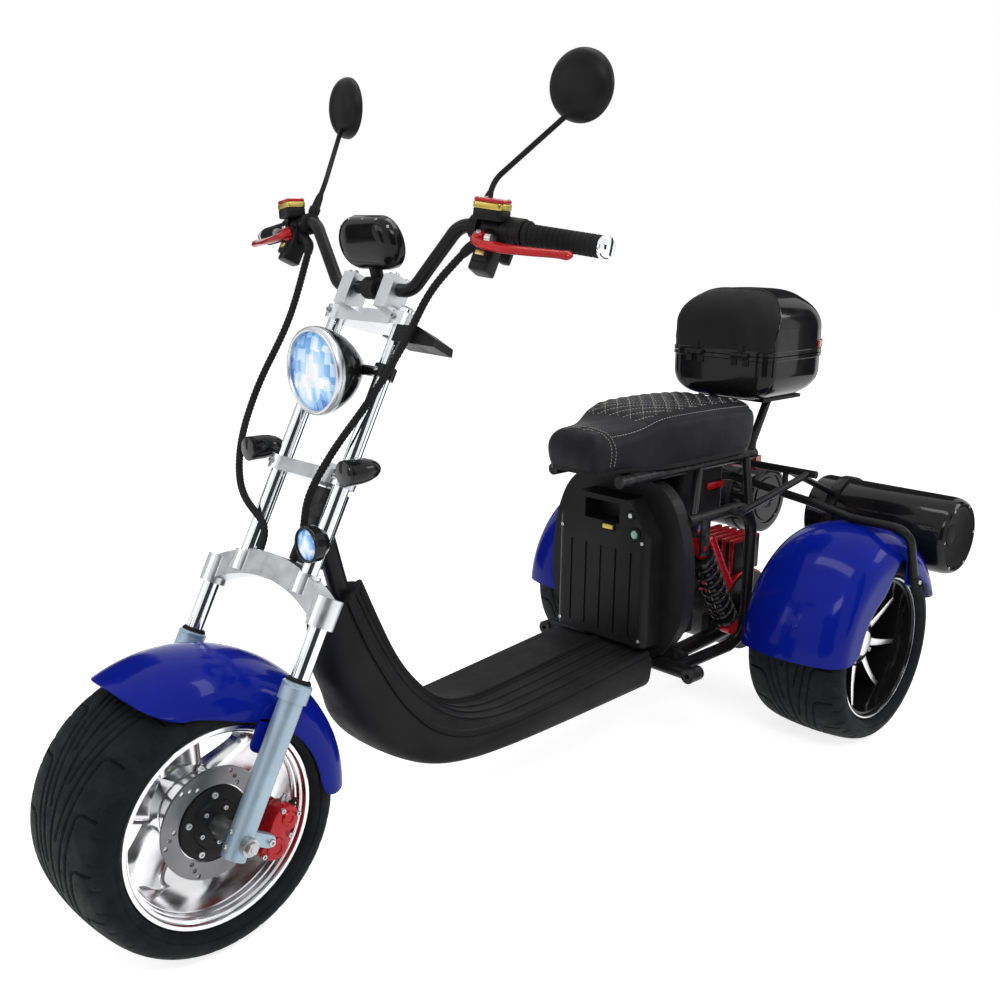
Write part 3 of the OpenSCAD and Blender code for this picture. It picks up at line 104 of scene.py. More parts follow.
def unit(v):
    v = np.asarray(v, float)
    return v / np.linalg.norm(v)


def units(rows):
    """Rows of vectors, each made one long."""
    return rows / np.linalg.norm(rows, axis=-1)[..., None]


def square_to(axis):
    """An axis and two directions square to it."""
    a = unit(axis)
    u = unit(np.cross(UP if abs(a[2]) < 0.9 else AHEAD, a))
    return a, u, np.cross(a, u)


def turns(n):
    """The angles of n even steps round a circle."""
    return np.arange(n) * TAU / n


def radial(a):
    """The direction at an angle in the wheels' plane."""
    return np.array([math.cos(a), 0, math.sin(a)])


def clamp(k):
    return min(1.0, max(0.0, k))


def smooth(k):
    """A soft step from 0 to 1."""
    k = clamp(k)
    return k * k * (3 - 2 * k)


def quarter_round(k):
    """Goes from 0 to 1 as the height of a quarter circle does."""
    return 1 - math.sqrt(1 - clamp(k) ** 2)


def run_along(points):
    """How far along a line each of its points lies."""
    return np.concatenate([[0], np.cumsum(np.linalg.norm(np.diff(points, axis=0), axis=1))])


def read_off(q, run, rows):
    """What a table of rows gives at places along its run."""
    return np.stack([np.interp(q, run, column) for column in rows.T], -1)


def tangents(path):
    return units(np.gradient(path, axis=0))


def curve_through(points, step=6.0):
    """A smooth line through points, with about one sample each step millimetres."""
    p = np.asarray(points, float)
    p = np.vstack([2 * p[0] - p[1], p, 2 * p[-1] - p[-2]])
    out = []
    for i in range(1, len(p) - 2):
        a, b, c, d = p[i - 1:i + 3]
        n = max(3, int(np.linalg.norm(c - b) / (step * MM)))
        for t in np.arange(n) / n:
            out.append(0.5 * (2 * b + (c - a) * t + (2 * a - 5 * b + 4 * c - d) * t ** 2
                              + (3 * b - a - 3 * c + d) * t ** 3))
    return np.array(out + [p[-2]])


def bent(start, corner, end, radius, steps):
    """A line from start to end by a corner that is rounded to a radius in metres."""
    u, w = unit(corner - start), unit(end - corner)
    turn = math.acos(float(u @ w))
    mid = corner + unit(w - u) * radius / math.cos(turn / 2)
    first = corner - u * radius * math.tan(turn / 2) - mid
    second = np.cross(unit(np.cross(u, w)), first)
    arc = [mid + first * math.cos(a) + second * math.sin(a) for a in np.linspace(0, turn, steps)]
    return np.array([start, *arc, end])


def corner_cut(points, times, loop=False):
    """A line with its corners cut over and over, until it is round; a loop has no ends to keep."""
    p = np.asarray(points, float)
    for _ in range(times):
        a, b = (p, np.roll(p, -1, axis=0)) if loop else (p[:-1], p[1:])
        cut = np.stack([a * 0.75 + b * 0.25, a * 0.25 + b * 0.75], 1).reshape(-1, *p.shape[1:])
        p = cut if loop else np.concatenate([p[:1], cut, p[-1:]])
    return p


def rounded_outline(x0, x1, y0, y1, r, steps=5):
    """A rectangle's outline with round corners."""
    out = []
    corners = (x1 - r, y0 + r), (x1 - r, y1 - r), (x0 + r, y1 - r), (x0 + r, y0 + r)
    for (cx, cy), a0 in zip(corners, (-90, 0, 90, 180)):
        for a in np.radians(np.linspace(a0, a0 + 90, steps)):
            out.append((cx + r * math.cos(a), cy + r * math.sin(a)))
    return np.array(out)


# Forms: each is a pair of points and faces


def skin(rows, wrap=False, loop=False, caps=False):
    """A sheet through rows of points; wrap joins the last to the first, loop closes each, caps the ends."""
    rows = np.asarray(rows, float)
    n, m = rows.shape[:2]
    i, j = np.meshgrid(np.arange(n if wrap else n - 1), np.arange(m if loop else m - 1), indexing="ij")
    i, j = i.ravel(), j.ravel()
    next_i, next_j = (i + 1) % n, (j + 1) % m
    faces = np.stack([i * m + j, next_i * m + j, next_i * m + next_j, i * m + next_j], 1).tolist()
    if caps:
        faces += [list(range(m))[::-1], list(range((n - 1) * m, n * m))]
    return rows.reshape(-1, 3), faces


def loft(rows):
    """A solid through closed rows of points."""
    return skin(rows, loop=True, caps=True)


def turned(profile, centre, axis, sides, loop=False):
    """A turned form; its profile lists (place along the axis, radius), and a loop makes it a ring."""
    a, u, w = square_to(axis)
    p, t = np.array(profile, float) * MM, turns(sides)
    ring = np.cos(t)[:, None] * u + np.sin(t)[:, None] * w
    return skin(centre + p[None, :, :1] * a + p[None, :, 1:] * ring[:, None, :], wrap=True, loop=loop)


def ring_of(profile, centre, axis, sides):
    return turned(profile, centre, axis, sides, loop=True)


def solid(profile, centre, axis, sides):
    """A turned form whose ends are closed and flat."""
    return turned([(profile[0][0], CORE), *profile, (profile[-1][0], CORE)], centre, axis, sides)


def tube(path, radius, sides=14, caps=True):
    """A tube along a line; its radius, in millimetres, may change along it or, as a table, round it too."""
    path = np.asarray(path, float)
    t, u = tangents(path), np.zeros_like(path)
    u[0] = square_to(t[0])[1]
    for i in range(1, len(t)):
        u[i] = unit(u[i - 1] - t[i] * (u[i - 1] @ t[i]))
    w, a = np.cross(t, u), turns(sides)[:, None]
    r = np.asarray(radius, float) * MM
    if r.ndim < 2:
        r = (np.zeros(len(path)) + r)[:, None]
    return skin(path[:, None] + r[:, :, None] * (np.cos(a) * u[:, None] + np.sin(a) * w[:, None]), loop=True,
                caps=caps)


def swept(path, section):
    """An upright section, in millimetres (sideways, up), swept along a line."""
    t, s = tangents(path), np.array(section, float) * MM
    side = units(np.cross(UP, t))
    top = np.cross(t, side)
    return loft(path[:, None] + s[:, :1] * side[:, None] + s[:, 1:] * top[:, None])


def oval(path, wide, thick, flat, sides=16):
    """A bar of oval section along a line; flat is the direction of its thin side."""
    side = units(np.cross(tangents(path), flat))
    a, wide, thick = turns(sides)[:, None], wide[:, None, None] * MM, thick[:, None, None] * MM
    return loft(path[:, None] + wide * np.cos(a) * side[:, None] + thick * np.sin(a) * flat)


def rims(low, high, soft):
    """The heights and insets of the contours that soften both rims of a plate."""
    part = soft * 0.3
    heights = low, low + part, low + soft, high - soft, high - part, high
    return tuple(zip(heights, (soft, part, 0, 0, part, soft)))


def block(size, centre, axes, r, soft):
    """A block with round corners and softened rims; its size is (across, deep, tall) along the axes."""
    (w, d, h), (ex, ey, ez), rows = size, axes, []
    for z, inset in rims(-h / 2, h / 2, soft):
        o = rounded_outline(-w / 2 + inset, w / 2 - inset, -d / 2 + inset, d / 2 - inset,
                            max(0.3, r - inset * 0.5))
        rows.append(centre + (o[:, :1] * ex + o[:, 1:] * ey + z * ez) * MM)
    return loft(rows)


def slab(outline, y0, y1, soft):
    """A plate with softened rims: an outline in the fork's X and Z, between two places across it."""
    away = outline - outline.mean(0)
    rows = [[fork(x, y, z) for x, z in outline - units(away) * inset] for y, inset in rims(y0, y1, soft)]
    return loft(rows)


def bolt(centre, axis, d, h):
    """A socket-headed bolt that stands on a face at centre."""
    r = d / 2
    return solid([(0, r), (h * 0.8, r), (h, r * 0.86), (h, r * 0.52), (h * 0.45, r * 0.5)], centre, axis, 18)


def hex_nut(centre, axis, d, h):
    """A nut with the end of its stud."""
    return solid([(0, d / 2), (h * 0.82, d / 2), (h, d * 0.43), (h, d * 0.26), (h * 1.25, d * 0.22)], centre,
                 axis, 6)


class Shape:
    """Gathers forms into one piece; each form may have its own finish."""

    def __init__(self):
        self.v, self.f, self.m, self.count = [], [], [], 0

    def add(self, form, finish=0):
        verts, faces = form
        self.f += [[q + self.count for q in face] for face in faces]
        self.m += [finish] * len(faces)
        self.v.append(np.asarray(verts, float))
        self.count += len(verts)
        return self

    def mirrored(self):
        """The same forms again on the other side of the middle plane."""
        self.f += [[q + self.count for q in face[::-1]] for face in self.f]
        self.v.append(np.vstack(self.v) * [1, -1, 1])
        self.m *= 2
        self.count *= 2
        return self

    def piece(self, name, body, *finishes, node=None, slot=None, sharp=40, merge=True):
        """Makes the piece and says what it rides on and which CAD node it stands for; slot is not used."""
        mesh = bpy.data.meshes.new(name)
        mesh.from_pydata(np.vstack(self.v).tolist(), [], self.f)
        mesh.polygons.foreach_set("material_index", self.m)
        if merge:
            bm = bmesh.new()
            bm.from_mesh(mesh)
            bmesh.ops.remove_doubles(bm, verts=bm.verts, dist=2e-6)
            bmesh.ops.recalc_face_normals(bm, faces=bm.faces)
            bm.to_mesh(mesh)
            bm.free()
        mesh.shade_smooth()
        mesh.set_sharp_from_angle(angle=math.radians(sharp))
        for finish in finishes:
            mesh.materials.append(M[finish])
        obj = bpy.data.objects.new(name, mesh)
        scene.collection.objects.link(obj)
        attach(obj, body)
        if node:
            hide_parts(node)
        return obj


# Finishes


class Nodes:
    """Wires the nodes of a material or of the world."""

    def __init__(self, owner):
        owner.use_nodes = True
        self.owner, self.tree = owner, owner.node_tree

    @cached_property
    def shader(self):
        return self.tree.nodes["Principled BSDF"]

    @cached_property
    def coord(self):
        return self.new("ShaderNodeTexCoord").outputs["Object"]

    def feed(self, node, sockets):
        """Sets each socket to its constant, or links to it what another node gives."""
        for key, v in sockets.items():
            if isinstance(v, bpy.types.NodeSocket):
                self.tree.links.new(v, node.inputs[key])
            elif v is not None:
                colour = isinstance(v, tuple) and node.inputs[key].type == "RGBA"
                node.inputs[key].default_value = (*v, 1) if colour else v

    def new(self, kind, sockets=None, **settings):
        node = self.tree.nodes.new(kind)
        for key, v in settings.items():
            setattr(node, key, v)
        self.feed(node, sockets or {})
        return node

    def noise(self, scale, detail=3.0, rough=0.55, vector=None):
        return self.new("ShaderNodeTexNoise", {"Scale": scale, "Detail": detail, "Roughness": rough,
                                               "Vector": vector or self.coord}).outputs["Fac"]

    def ramp(self, value, low, high, a=0.0, b=1.0):
        """Carries a value from one range to another, and holds it there."""
        return self.new("ShaderNodeMapRange", {"Value": value, "From Min": low, "From Max": high, "To Min": a,
                                               "To Max": b}).outputs["Result"]

    def math(self, op, a, b):
        return self.new("ShaderNodeMath", {0: a, 1: b}, operation=op).outputs[0]

    def vector(self, op, a, b=None):
        node = self.new("ShaderNodeVectorMath", {0: a, 1: b}, operation=op)
        return node.outputs["Value" if op == "LENGTH" else "Vector"]

    def mix(self, share, a, b):
        """A colour between two; they are the node's sockets 6 and 7, after those of its other data types."""
        return self.new("ShaderNodeMix", {"Factor": share, 6: a, 7: b}, data_type="RGBA").outputs[2]

    def drift(self, scale, detail, a, b):
        """Soft patches of two colours."""
        return self.mix(self.ramp(self.noise(scale, detail), 0.35, 0.7), a, b)

    def gloss(self, scale, detail, rough, low=0.3):
        """Uneven roughness between two levels."""
        return self.ramp(self.noise(scale, detail), low, 0.75, *rough)

    def bump(self, height, strength, depth, base=None):
        return self.new("ShaderNodeBump", {"Height": height, "Strength": strength, "Distance": depth,
                                           "Normal": base}).outputs["Normal"]

    def seen(self):
        """One for a ray from the camera, a reflection or glass, and zero for light that falls on things."""
        rays = self.new("ShaderNodeLightPath").outputs
        shiny = self.math("MAXIMUM", rays["Is Glossy Ray"], rays["Is Transmission Ray"])
        return self.math("MAXIMUM", rays["Is Camera Ray"], shiny)

    def finish(self, colour, rough, metal=0.0, normal=None, **sockets):
        main = {"Base Color": colour, "Roughness": rough, "Metallic": metal, "Normal": normal}
        self.feed(self.shader, main)
        self.feed(self.shader, {key.replace("_", " "): v for key, v in sockets.items()})
        return self.owner


def material(name):
    return Nodes(bpy.data.materials.new(name))


def plain(name, dark, light, rough, metal=0.0, grain=400, depth=0.00006, strength=0.25, **sockets):
    """A finish with soft colour drift, uneven gloss and a fine grain."""
    n = material(name)
    normal = n.bump(n.noise(grain, 2), strength, depth)
    return n.finish(n.drift(9, 4, dark, light), n.gloss(36, 5, rough), metal, normal, **sockets)


def worn(name, dark, light, edge, rough, grain, depth=0.00005, strength=0.2, **sockets):
    """Paint or moulding with slightly rubbed edges."""
    n = material(name)
    rim = n.ramp(n.new("ShaderNodeNewGeometry").outputs["Pointiness"], 0.52, 0.6)
    rub = n.math("MULTIPLY", rim, n.ramp(n.noise(60, 4), 0.4, 0.7))
    normal = n.bump(n.noise(grain, 2), strength, depth)
    colour = n.mix(rub, n.drift(7, 4, dark, light), edge)
    return n.finish(colour, n.gloss(26, 5, rough), 0.0, normal, **sockets)


def turned_metal(name, colour, dull, rough, centre, rings=900, strength=0.12):
    """Metal with the fine rings of a lathe round a wheel's axle."""
    n = material(name)
    flat = n.vector("MULTIPLY", n.vector("SUBTRACT", n.coord, centre), (1, 0, 1))
    radius = n.new("ShaderNodeCombineXYZ", {0: n.vector("LENGTH", flat)}).outputs[0]
    lines = n.noise(rings, 3, 0.7, radius)
    tone = n.mix(n.ramp(n.noise(14, 4), 0.3, 0.75), colour, dull)
    gloss = n.math("ADD", n.ramp(lines, 0.3, 0.7, *rough), n.ramp(n.noise(40, 3), 0.4, 0.7, 0, 0.06))
    return n.finish(tone, gloss, 1.0, n.bump(lines, strength, 0.00008))


def blue_paint():
    """Clear-coated paint with fine flakes and a little orange peel."""
    n = material("blue_paint")
    flake = n.math("MULTIPLY", n.ramp(n.noise(2600, 1), 0.55, 0.8), 0.35)
    base = n.mix(flake, n.drift(6, 3, (0.002, 0.010, 0.25), (0.003, 0.014, 0.31)), (0.01, 0.03, 0.5))
    return n.finish(base, n.gloss(30, 4, (0.16, 0.26), 0.35), 0.0, n.bump(n.noise(180, 2), 0.06, 0.0002),
                    Specular_IOR_Level=0.04, Coat_Weight=0.14, Coat_Roughness=0.03)


def tyre_rubber():
    """Matt rubber with a trace of dust."""
    n = material("tyre_rubber")
    base = n.mix(n.ramp(n.noise(18, 5, 0.65), 0.45, 0.8), (0.008, 0.009, 0.010), (0.02, 0.021, 0.022))
    fine = n.bump(n.noise(1500, 3), 0.3, 0.0003)
    return n.finish(base, n.gloss(50, 4, (0.55, 0.78)), 0.0, n.bump(n.noise(260, 2), 0.15, 0.0004, fine),
                    Specular_IOR_Level=0.1)


def leather():
    """Grained black leather with shallow creases."""
    n = material("black_leather")
    pores = n.new("ShaderNodeTexVoronoi", {"Scale": 520, "Vector": n.coord},
                  feature="DISTANCE_TO_EDGE").outputs["Distance"]
    gloss = n.math("ADD", n.ramp(pores, 0.0, 0.35, 0.5, 0.34), n.ramp(n.noise(30, 3), 0.3, 0.7, -0.04, 0.08))
    grain = n.bump(n.ramp(pores, 0.0, 0.3), 0.35, 0.0004)
    return n.finish(n.drift(12, 4, (0.010, 0.010, 0.012), (0.022, 0.022, 0.025)), gloss, 0.0,
                    n.bump(n.noise(90, 5, 0.6), 0.2, 0.0008, grain), Specular_IOR_Level=0.12)


def glowing_lens(name, centre, facets, radius):
    """A lit lamp: bluish glass with the facets of the reflector behind it and a white heart."""
    n = material(name)
    place = n.vector("SUBTRACT", n.coord, tuple(centre))
    flat = n.vector("MULTIPLY", place, (0, 1, 0.6))
    tone = n.ramp(n.vector("LENGTH", place), 0.1 * radius, radius, 1.05, 0.3)
    for scale, loose in ((facets, 0.4), (facets * 0.45, 0.8)):
        cells = n.new("ShaderNodeTexVoronoi", {"Scale": scale, "Randomness": loose, "Vector": flat},
                      distance="CHEBYCHEV")
        shade = n.new("ShaderNodeSeparateColor", {0: cells.outputs["Color"]}).outputs["Red"]
        tone = n.math("ADD", tone, n.ramp(shade, 0, 1, -0.3, 0.3))
    deep = n.mix(n.ramp(tone, 0.0, 0.5), (0.06, 0.2, 0.6), (0.3, 0.6, 0.95))
    colour = n.mix(n.ramp(tone, 0.45, 0.95), deep, (0.95, 0.98, 1.0))
    rough = n.ramp(n.noise(60, 3), 0.3, 0.7, 0.04, 0.1)
    normal = n.bump(cells.outputs["Distance"], 0.3, 0.001)
    return n.finish(colour, rough, 0.0, normal, Emission_Color=colour, Emission_Strength=0.3,
                    Specular_IOR_Level=0.3, Coat_Weight=0.3, Coat_Roughness=0.02)


TUBE_Y, TOP_CLAMP_Z, LOW_CLAMP_Z = 87, 850, 572
LAMP, LAMP_R = fork(74, 0, LOW_CLAMP_Z + (TOP_CLAMP_Z - LOW_CLAMP_Z) * 0.54), 0.064
FOG, FOG_R = fork(48, 119, 455.3), 0.025
M = {
    "gloss": worn("black_gloss", (0.006, 0.006, 0.007), (0.011, 0.011, 0.012), (0.03, 0.03, 0.03), (0.1, 0.2),
                  300, Specular_IOR_Level=0.1, Coat_Weight=0.24, Coat_Roughness=0.04),
    "frame": worn("frame_paint", (0.008, 0.008, 0.009), (0.014, 0.014, 0.015), (0.05, 0.05, 0.05),
                  (0.26, 0.42), 260, 0.0001, 0.25, Specular_IOR_Level=0.15),
    "matte": plain("moulded_matte", (0.012, 0.012, 0.013), (0.022, 0.022, 0.023), (0.5, 0.68), 0.0, 1400,
                   0.0002, 0.35, Specular_IOR_Level=0.1),
    "satin": plain("moulded_satin", (0.008, 0.008, 0.009), (0.016, 0.016, 0.017), (0.34, 0.5), 0.0, 900,
                   0.0001, Specular_IOR_Level=0.12),
    "grip": plain("grip_rubber", (0.01, 0.01, 0.01), (0.022, 0.022, 0.022), (0.6, 0.8), 0.0, 1500, 0.0002,
                  0.4, Specular_IOR_Level=0.12),
    "thread": plain("pale_thread", (0.52, 0.5, 0.45), (0.68, 0.66, 0.6), (0.6, 0.8), 0.0, 2500, 0.0003, 0.5),
    "chrome": plain("chrome", (0.78, 0.8, 0.83), (0.86, 0.88, 0.9), (0.04, 0.12), 1.0, 200, 0.00003, 0.1),
    "silver": plain("satin_silver", (0.6, 0.62, 0.65), (0.72, 0.73, 0.75), (0.26, 0.4), 1.0, 1200, 0.00008),
    "slider": plain("slider_paint", (0.34, 0.46, 0.56), (0.42, 0.55, 0.65), (0.3, 0.42), 0.35, 700, 0.00008,
                    0.2, Coat_Weight=0.3, Coat_Roughness=0.15),
    "steel": plain("zinc_steel", (0.42, 0.43, 0.44), (0.6, 0.6, 0.6), (0.25, 0.45), 1.0, 800),
    "red": plain("red_anodised", (0.42, 0.006, 0.01), (0.56, 0.012, 0.018), (0.22, 0.36), 0.2, 900,
                 Specular_IOR_Level=0.2, Coat_Weight=0.25, Coat_Roughness=0.1),
    "gold": plain("gold_anodised", (0.45, 0.34, 0.06), (0.58, 0.45, 0.12), (0.3, 0.45), 0.9, 900),
    "brass": plain("brass_latch", (0.55, 0.4, 0.15), (0.7, 0.52, 0.22), (0.35, 0.5), 0.8, 900),
    "mirror": plain("mirror_silver", (0.86, 0.88, 0.9), (0.9, 0.91, 0.93), (0.01, 0.03), 1.0, 100, 0.00001,
                    0.03),
    "smoke": plain("smoked_lens", (0.02, 0.02, 0.022), (0.05, 0.045, 0.04), (0.08, 0.16), 0.0, 300,
                   Specular_IOR_Level=0.25, Coat_Weight=0.4, Coat_Roughness=0.04),
    "port": plain("port_glass", (0.24, 0.52, 0.42), (0.42, 0.68, 0.56), (0.06, 0.14), 0.0, 150,
                  Coat_Weight=0.6, Coat_Roughness=0.04),
    "redlens": plain("red_lens", (0.42, 0.004, 0.006), (0.6, 0.02, 0.02), (0.06, 0.14), 0.0, 150,
                     Coat_Weight=0.8, Coat_Roughness=0.04),
    "alloy": turned_metal("polished_alloy", (0.82, 0.82, 0.83), (0.7, 0.7, 0.71), (0.1, 0.2), FRONT_HUB),
    "disc": turned_metal("ground_disc", (0.2, 0.2, 0.205), (0.14, 0.14, 0.145), (0.3, 0.45), FRONT_HUB, 1400,
                         0.2),
    "blade": turned_metal("machined_face", (0.85, 0.85, 0.86), (0.76, 0.76, 0.77), (0.2, 0.3), REAR_HUB, 1500,
                          0.15),
    "blue": blue_paint(), "rubber": tyre_rubber(), "leather": leather(),
    "lamp": glowing_lens("headlamp_glow", LAMP, 80, LAMP_R), "fog": glowing_lens("fog_glow", FOG, 150, FOG_R),
}
# The CAD nodes that stay, by finish
KEPT_NODES = {
    "frame": ("main_frame", "rear_rack", "box_bracket", "rear_axle", "handlebar"),
    "satin": ("battery_surround", "battery_case", "underseat_box", "seat_pan", "horn_box"),
    "silver": ("fork_bridge", "fork_clamps"), "steel": ("steering_stem", "front_axle"),
    "slider": ("fork_sliders",), "chrome": ("fork_tubes",), "mirror": ("mirror_glasses",),
    "disc": ("front_disc",), "red": ("shock_dampers",), "redlens": ("tail_lamp",),
    "gloss": ("fog_lamp",), "lamp": ("headlamp_lens",),
}


def finish_nodes():
    """Gives the CAD nodes that stay their finishes."""
    for finish, names in KEPT_NODES.items():
        for name in names:
            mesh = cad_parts[name].data
            mesh.materials.clear()
            mesh.materials.append(M[finish])
            mesh.polygons.foreach_set("material_index", [0] * len(mesh.polygons))


def place_in_scene(name, data, x, y, z, spot):
    """Puts a camera or a lamp into the scene with its own three axes and its place."""
    obj = bpy.data.objects.new(name, data)
    scene.collection.objects.link(obj)
    obj.matrix_world = Matrix([*np.column_stack([x, y, z, spot]).tolist(), (0, 0, 0, 1)])
    return obj


CAMERA_AT, CAMERA_TURN = (2322.1, 1531.3, 1135.9), (-134.97, -13.545, 0.874)
CAMERA_LENS, SENSOR = 41.0, 36


def make_camera():
    """The camera, at the photograph's angle."""
    yaw, pitch, roll = np.radians(CAMERA_TURN)
    way = np.array([math.cos(pitch) * math.cos(yaw), math.cos(pitch) * math.sin(yaw), math.sin(pitch)])
    right = unit(np.cross(way, UP))
    up = np.cross(right, way)
    c, s = math.cos(roll), math.sin(roll)
    data = bpy.data.cameras.new("camera")
    data.sensor_width, data.lens, data.clip_end = SENSOR, CAMERA_LENS, 50
    x, y = c * right + s * up, c * up - s * right
    scene.camera = place_in_scene("camera", data, x, y, -way, at(*CAMERA_AT))


# Cables: the wiring looms, wrapped in spiral sleeving
LOOM_D, LOOM_SIDES, WRAP_TURN, WRAP_RIDGE, EASING = 13, 14, 7.0, 0.9, 400
LOOMS = {
    1: [(34, 214, 966), (30, 161, 895), (30, 147, 812), (30, 115, 705), (30, 72, 610), (30, 52, 520),
        (8, 47, 476), (8, 47, 422)],
    -1: [(34, -196, 962), (30, -180, 822), (30, -196, 696), (30, -184, 590), (32, -130, 510),
         (26, -72, 478), (8, -47, 462), (8, -47, 422)],
}


def eased(path):
    """The same line with its corners eased, because a thick loom can't bend sharply; its ends stay."""
    path = path.copy()
    for _ in range(EASING):
        path[1:-1] = path[:-2] * 0.25 + path[1:-1] * 0.5 + path[2:] * 0.25
    return path


def make_looms():
    """A loom from each switch box down to the lower bridge; the right one stands for the CAD node of both."""
    for side, name in SIDES:
        path = eased(curve_through([fork(*p) for p in LOOMS[side]], 1.6))
        run = run_along(path)
        wave = 0.5 + 0.5 * np.cos(turns(LOOM_SIDES) - run[:, None] / MM * TAU / WRAP_TURN)
        radius = LOOM_D / 2 - WRAP_RIDGE + WRAP_RIDGE * np.clip(wave * 2.2, 0, 1)
        node = "cable_looms" if side < 0 else None
        loom = Shape().add(tube(path, radius, LOOM_SIDES))
        loom = loom.piece("loom_" + name, "steering", "grip", node=node, slot="cable_looms", sharp=60)


# Tyres
TYRE_R, TYRE_HALF = 223, 117.5
HOOKS, HOOK_STEPS = 16, 24
PITCH = TAU * TYRE_R / HOOKS
# A hook's radius, where it ends and turns across the tyre, and how many pitches its slant runs
HOOK_BEND, HOOK_IN, HOOK_TURN, HOOK_OUT, HOOK_RUN = 16, 13, 56, 101, 2.5
MIDDLE_GROOVE, HOOK_GROOVE, FINE_CUT = (4.0, 4.5), (4.2, 4.5), (3.0, 1.8)  # each wide and deep
CUT_FROM, CUT_TO = 97, 112
TREAD_FOOT = 186  # the radius below which the walls have no tread
FAR = 99.0  # further than any groove reaches


def groove(away, wide, deep):
    """The depth of a groove with soft edges, at a distance from its middle."""
    return deep * np.clip((wide / 2 + 0.9 - away) / 1.8, 0, 1)


def tread_depth(s, y):
    """The tread's depth at a run round the tyre and a place across it: a groove, hooks and fine cuts."""
    depth = groove(np.abs(y), *MIDDLE_GROOVE)
    bend_y = HOOK_TURN + HOOK_BEND
    slope = (HOOK_TURN - HOOK_IN) / (2.55 * PITCH)
    for side in BOTH_SIDES:
        v = y * side
        base = (s + (PITCH / 2 if side < 0 else 0)) % PITCH
        near = np.full(s.shape, FAR)
        for j in range(-1, 3):
            q = base + j * PITCH
            slant = np.abs(v - HOOK_TURN + (q - HOOK_BEND) * slope) * 0.97
            bend = np.abs(np.hypot(q - HOOK_BEND, v - bend_y) - HOOK_BEND)
            for away, there in ((slant, (q > HOOK_BEND) & (q < HOOK_BEND + HOOK_RUN * PITCH)),
                                (bend, (q <= HOOK_BEND) & (q > -4) & (v <= bend_y)),
                                (np.abs(q), (v > bend_y) & (v < HOOK_OUT))):
                near = np.minimum(near, np.where(there, away, FAR))
        cut = np.abs(base % (PITCH / 2) - PITCH / 4)
        depth = np.maximum(depth, groove(near, *HOOK_GROOVE))
        depth = np.maximum(depth, np.where((v > CUT_FROM) & (v < CUT_TO), groove(cut, *FINE_CUT), 0))
    return depth


def tyre_profile():
    """Half of the tyre's section: place across it and radius."""
    y = np.linspace(0, 62, 34)
    crown = np.stack([y, TYRE_R - 3.2 * (y / 62) ** 2], 1)
    t = np.linspace(0, 1, 34)[1:, None]
    p0, p1, p2, p3 = np.array([(62, 219.8), (96, 216.3), (TYRE_HALF, 209), (TYRE_HALF, 184)])
    shoulder = p0 * (1 - t) ** 3 + 3 * p1 * t * (1 - t) ** 2 + 3 * p2 * t ** 2 * (1 - t) + p3 * t ** 3
    wall = [(117.2, 181.5), (115.6, 180.6), (115.6, 178.2), (116.2, 177.2), (115.2, 174.6), (112.4, 171.2),
            (108, 168.6), (104, 167.2), (97.2, 166.4), (97.2, 152.4)]
    return np.vstack([crown, shoulder, wall])


def make_tyre(name, centre, body, node):
    half = tyre_profile()
    section = np.vstack([half[:0:-1] * [-1, 1], half])
    way = np.gradient(section, axis=0)
    out = units(np.stack([-way[:, 1], way[:, 0]], 1))
    angle = turns(HOOKS * HOOK_STEPS)[:, None]
    y, s = np.broadcast_arrays(section[:, 0], -angle * TYRE_R)
    deep = np.where(section[:, 1] < TREAD_FOOT, 0, tread_depth(s, y))
    r = section[:, 1] - deep * out[:, 1]
    rows = np.stack([np.cos(angle) * r, y - deep * out[:, 0], np.sin(angle) * r], 2) * MM + centre
    Shape().add(skin(rows, wrap=True, loop=True)).piece(name, body, "rubber", node=node, sharp=50)


def make_tyres():
    make_tyre("tyre_front", FRONT_HUB, "front_wheel", "front_tyre")
    for side, name in SIDES:
        make_tyre("tyre_rear_" + name, wheel_at(side), "rear_wheel_" + name, "rear_tyre_" + name)


# Wheels
SPOKES, SPOKE_FROM, SPOKE_TO, SPOKE_HALF = 5, 58, 147, 37
BLADES, BLADE_FROM, BLADE_RUN = 8, 40, 110


def rim_section(stepped):
    """A rim's closed section (across, radius): lips, bead seats and a dish that may be stepped."""
    outer = [(-104.5, 158), (-104.5, 164), (-103, 166), (-98.5, 166), (-97.6, 164.5), (-97.2, 152),
             (-60, 150.5), (0, 148.5)]
    steps = [(88, 150.2), (87, 148), (78, 147), (77, 145.4)] if stepped else []
    inner = [(102, 156), (97, 155.2), (96, 151.2), *steps, (60, 144.6), (0, 143.5)]
    return [q for half in (outer, inner) for q in half + [(-y, r) for y, r in half[-2::-1]]]


def both_sides(half):
    """A section from the right half of it."""
    return [(-q, z) for q, z in half] + half[::-1]


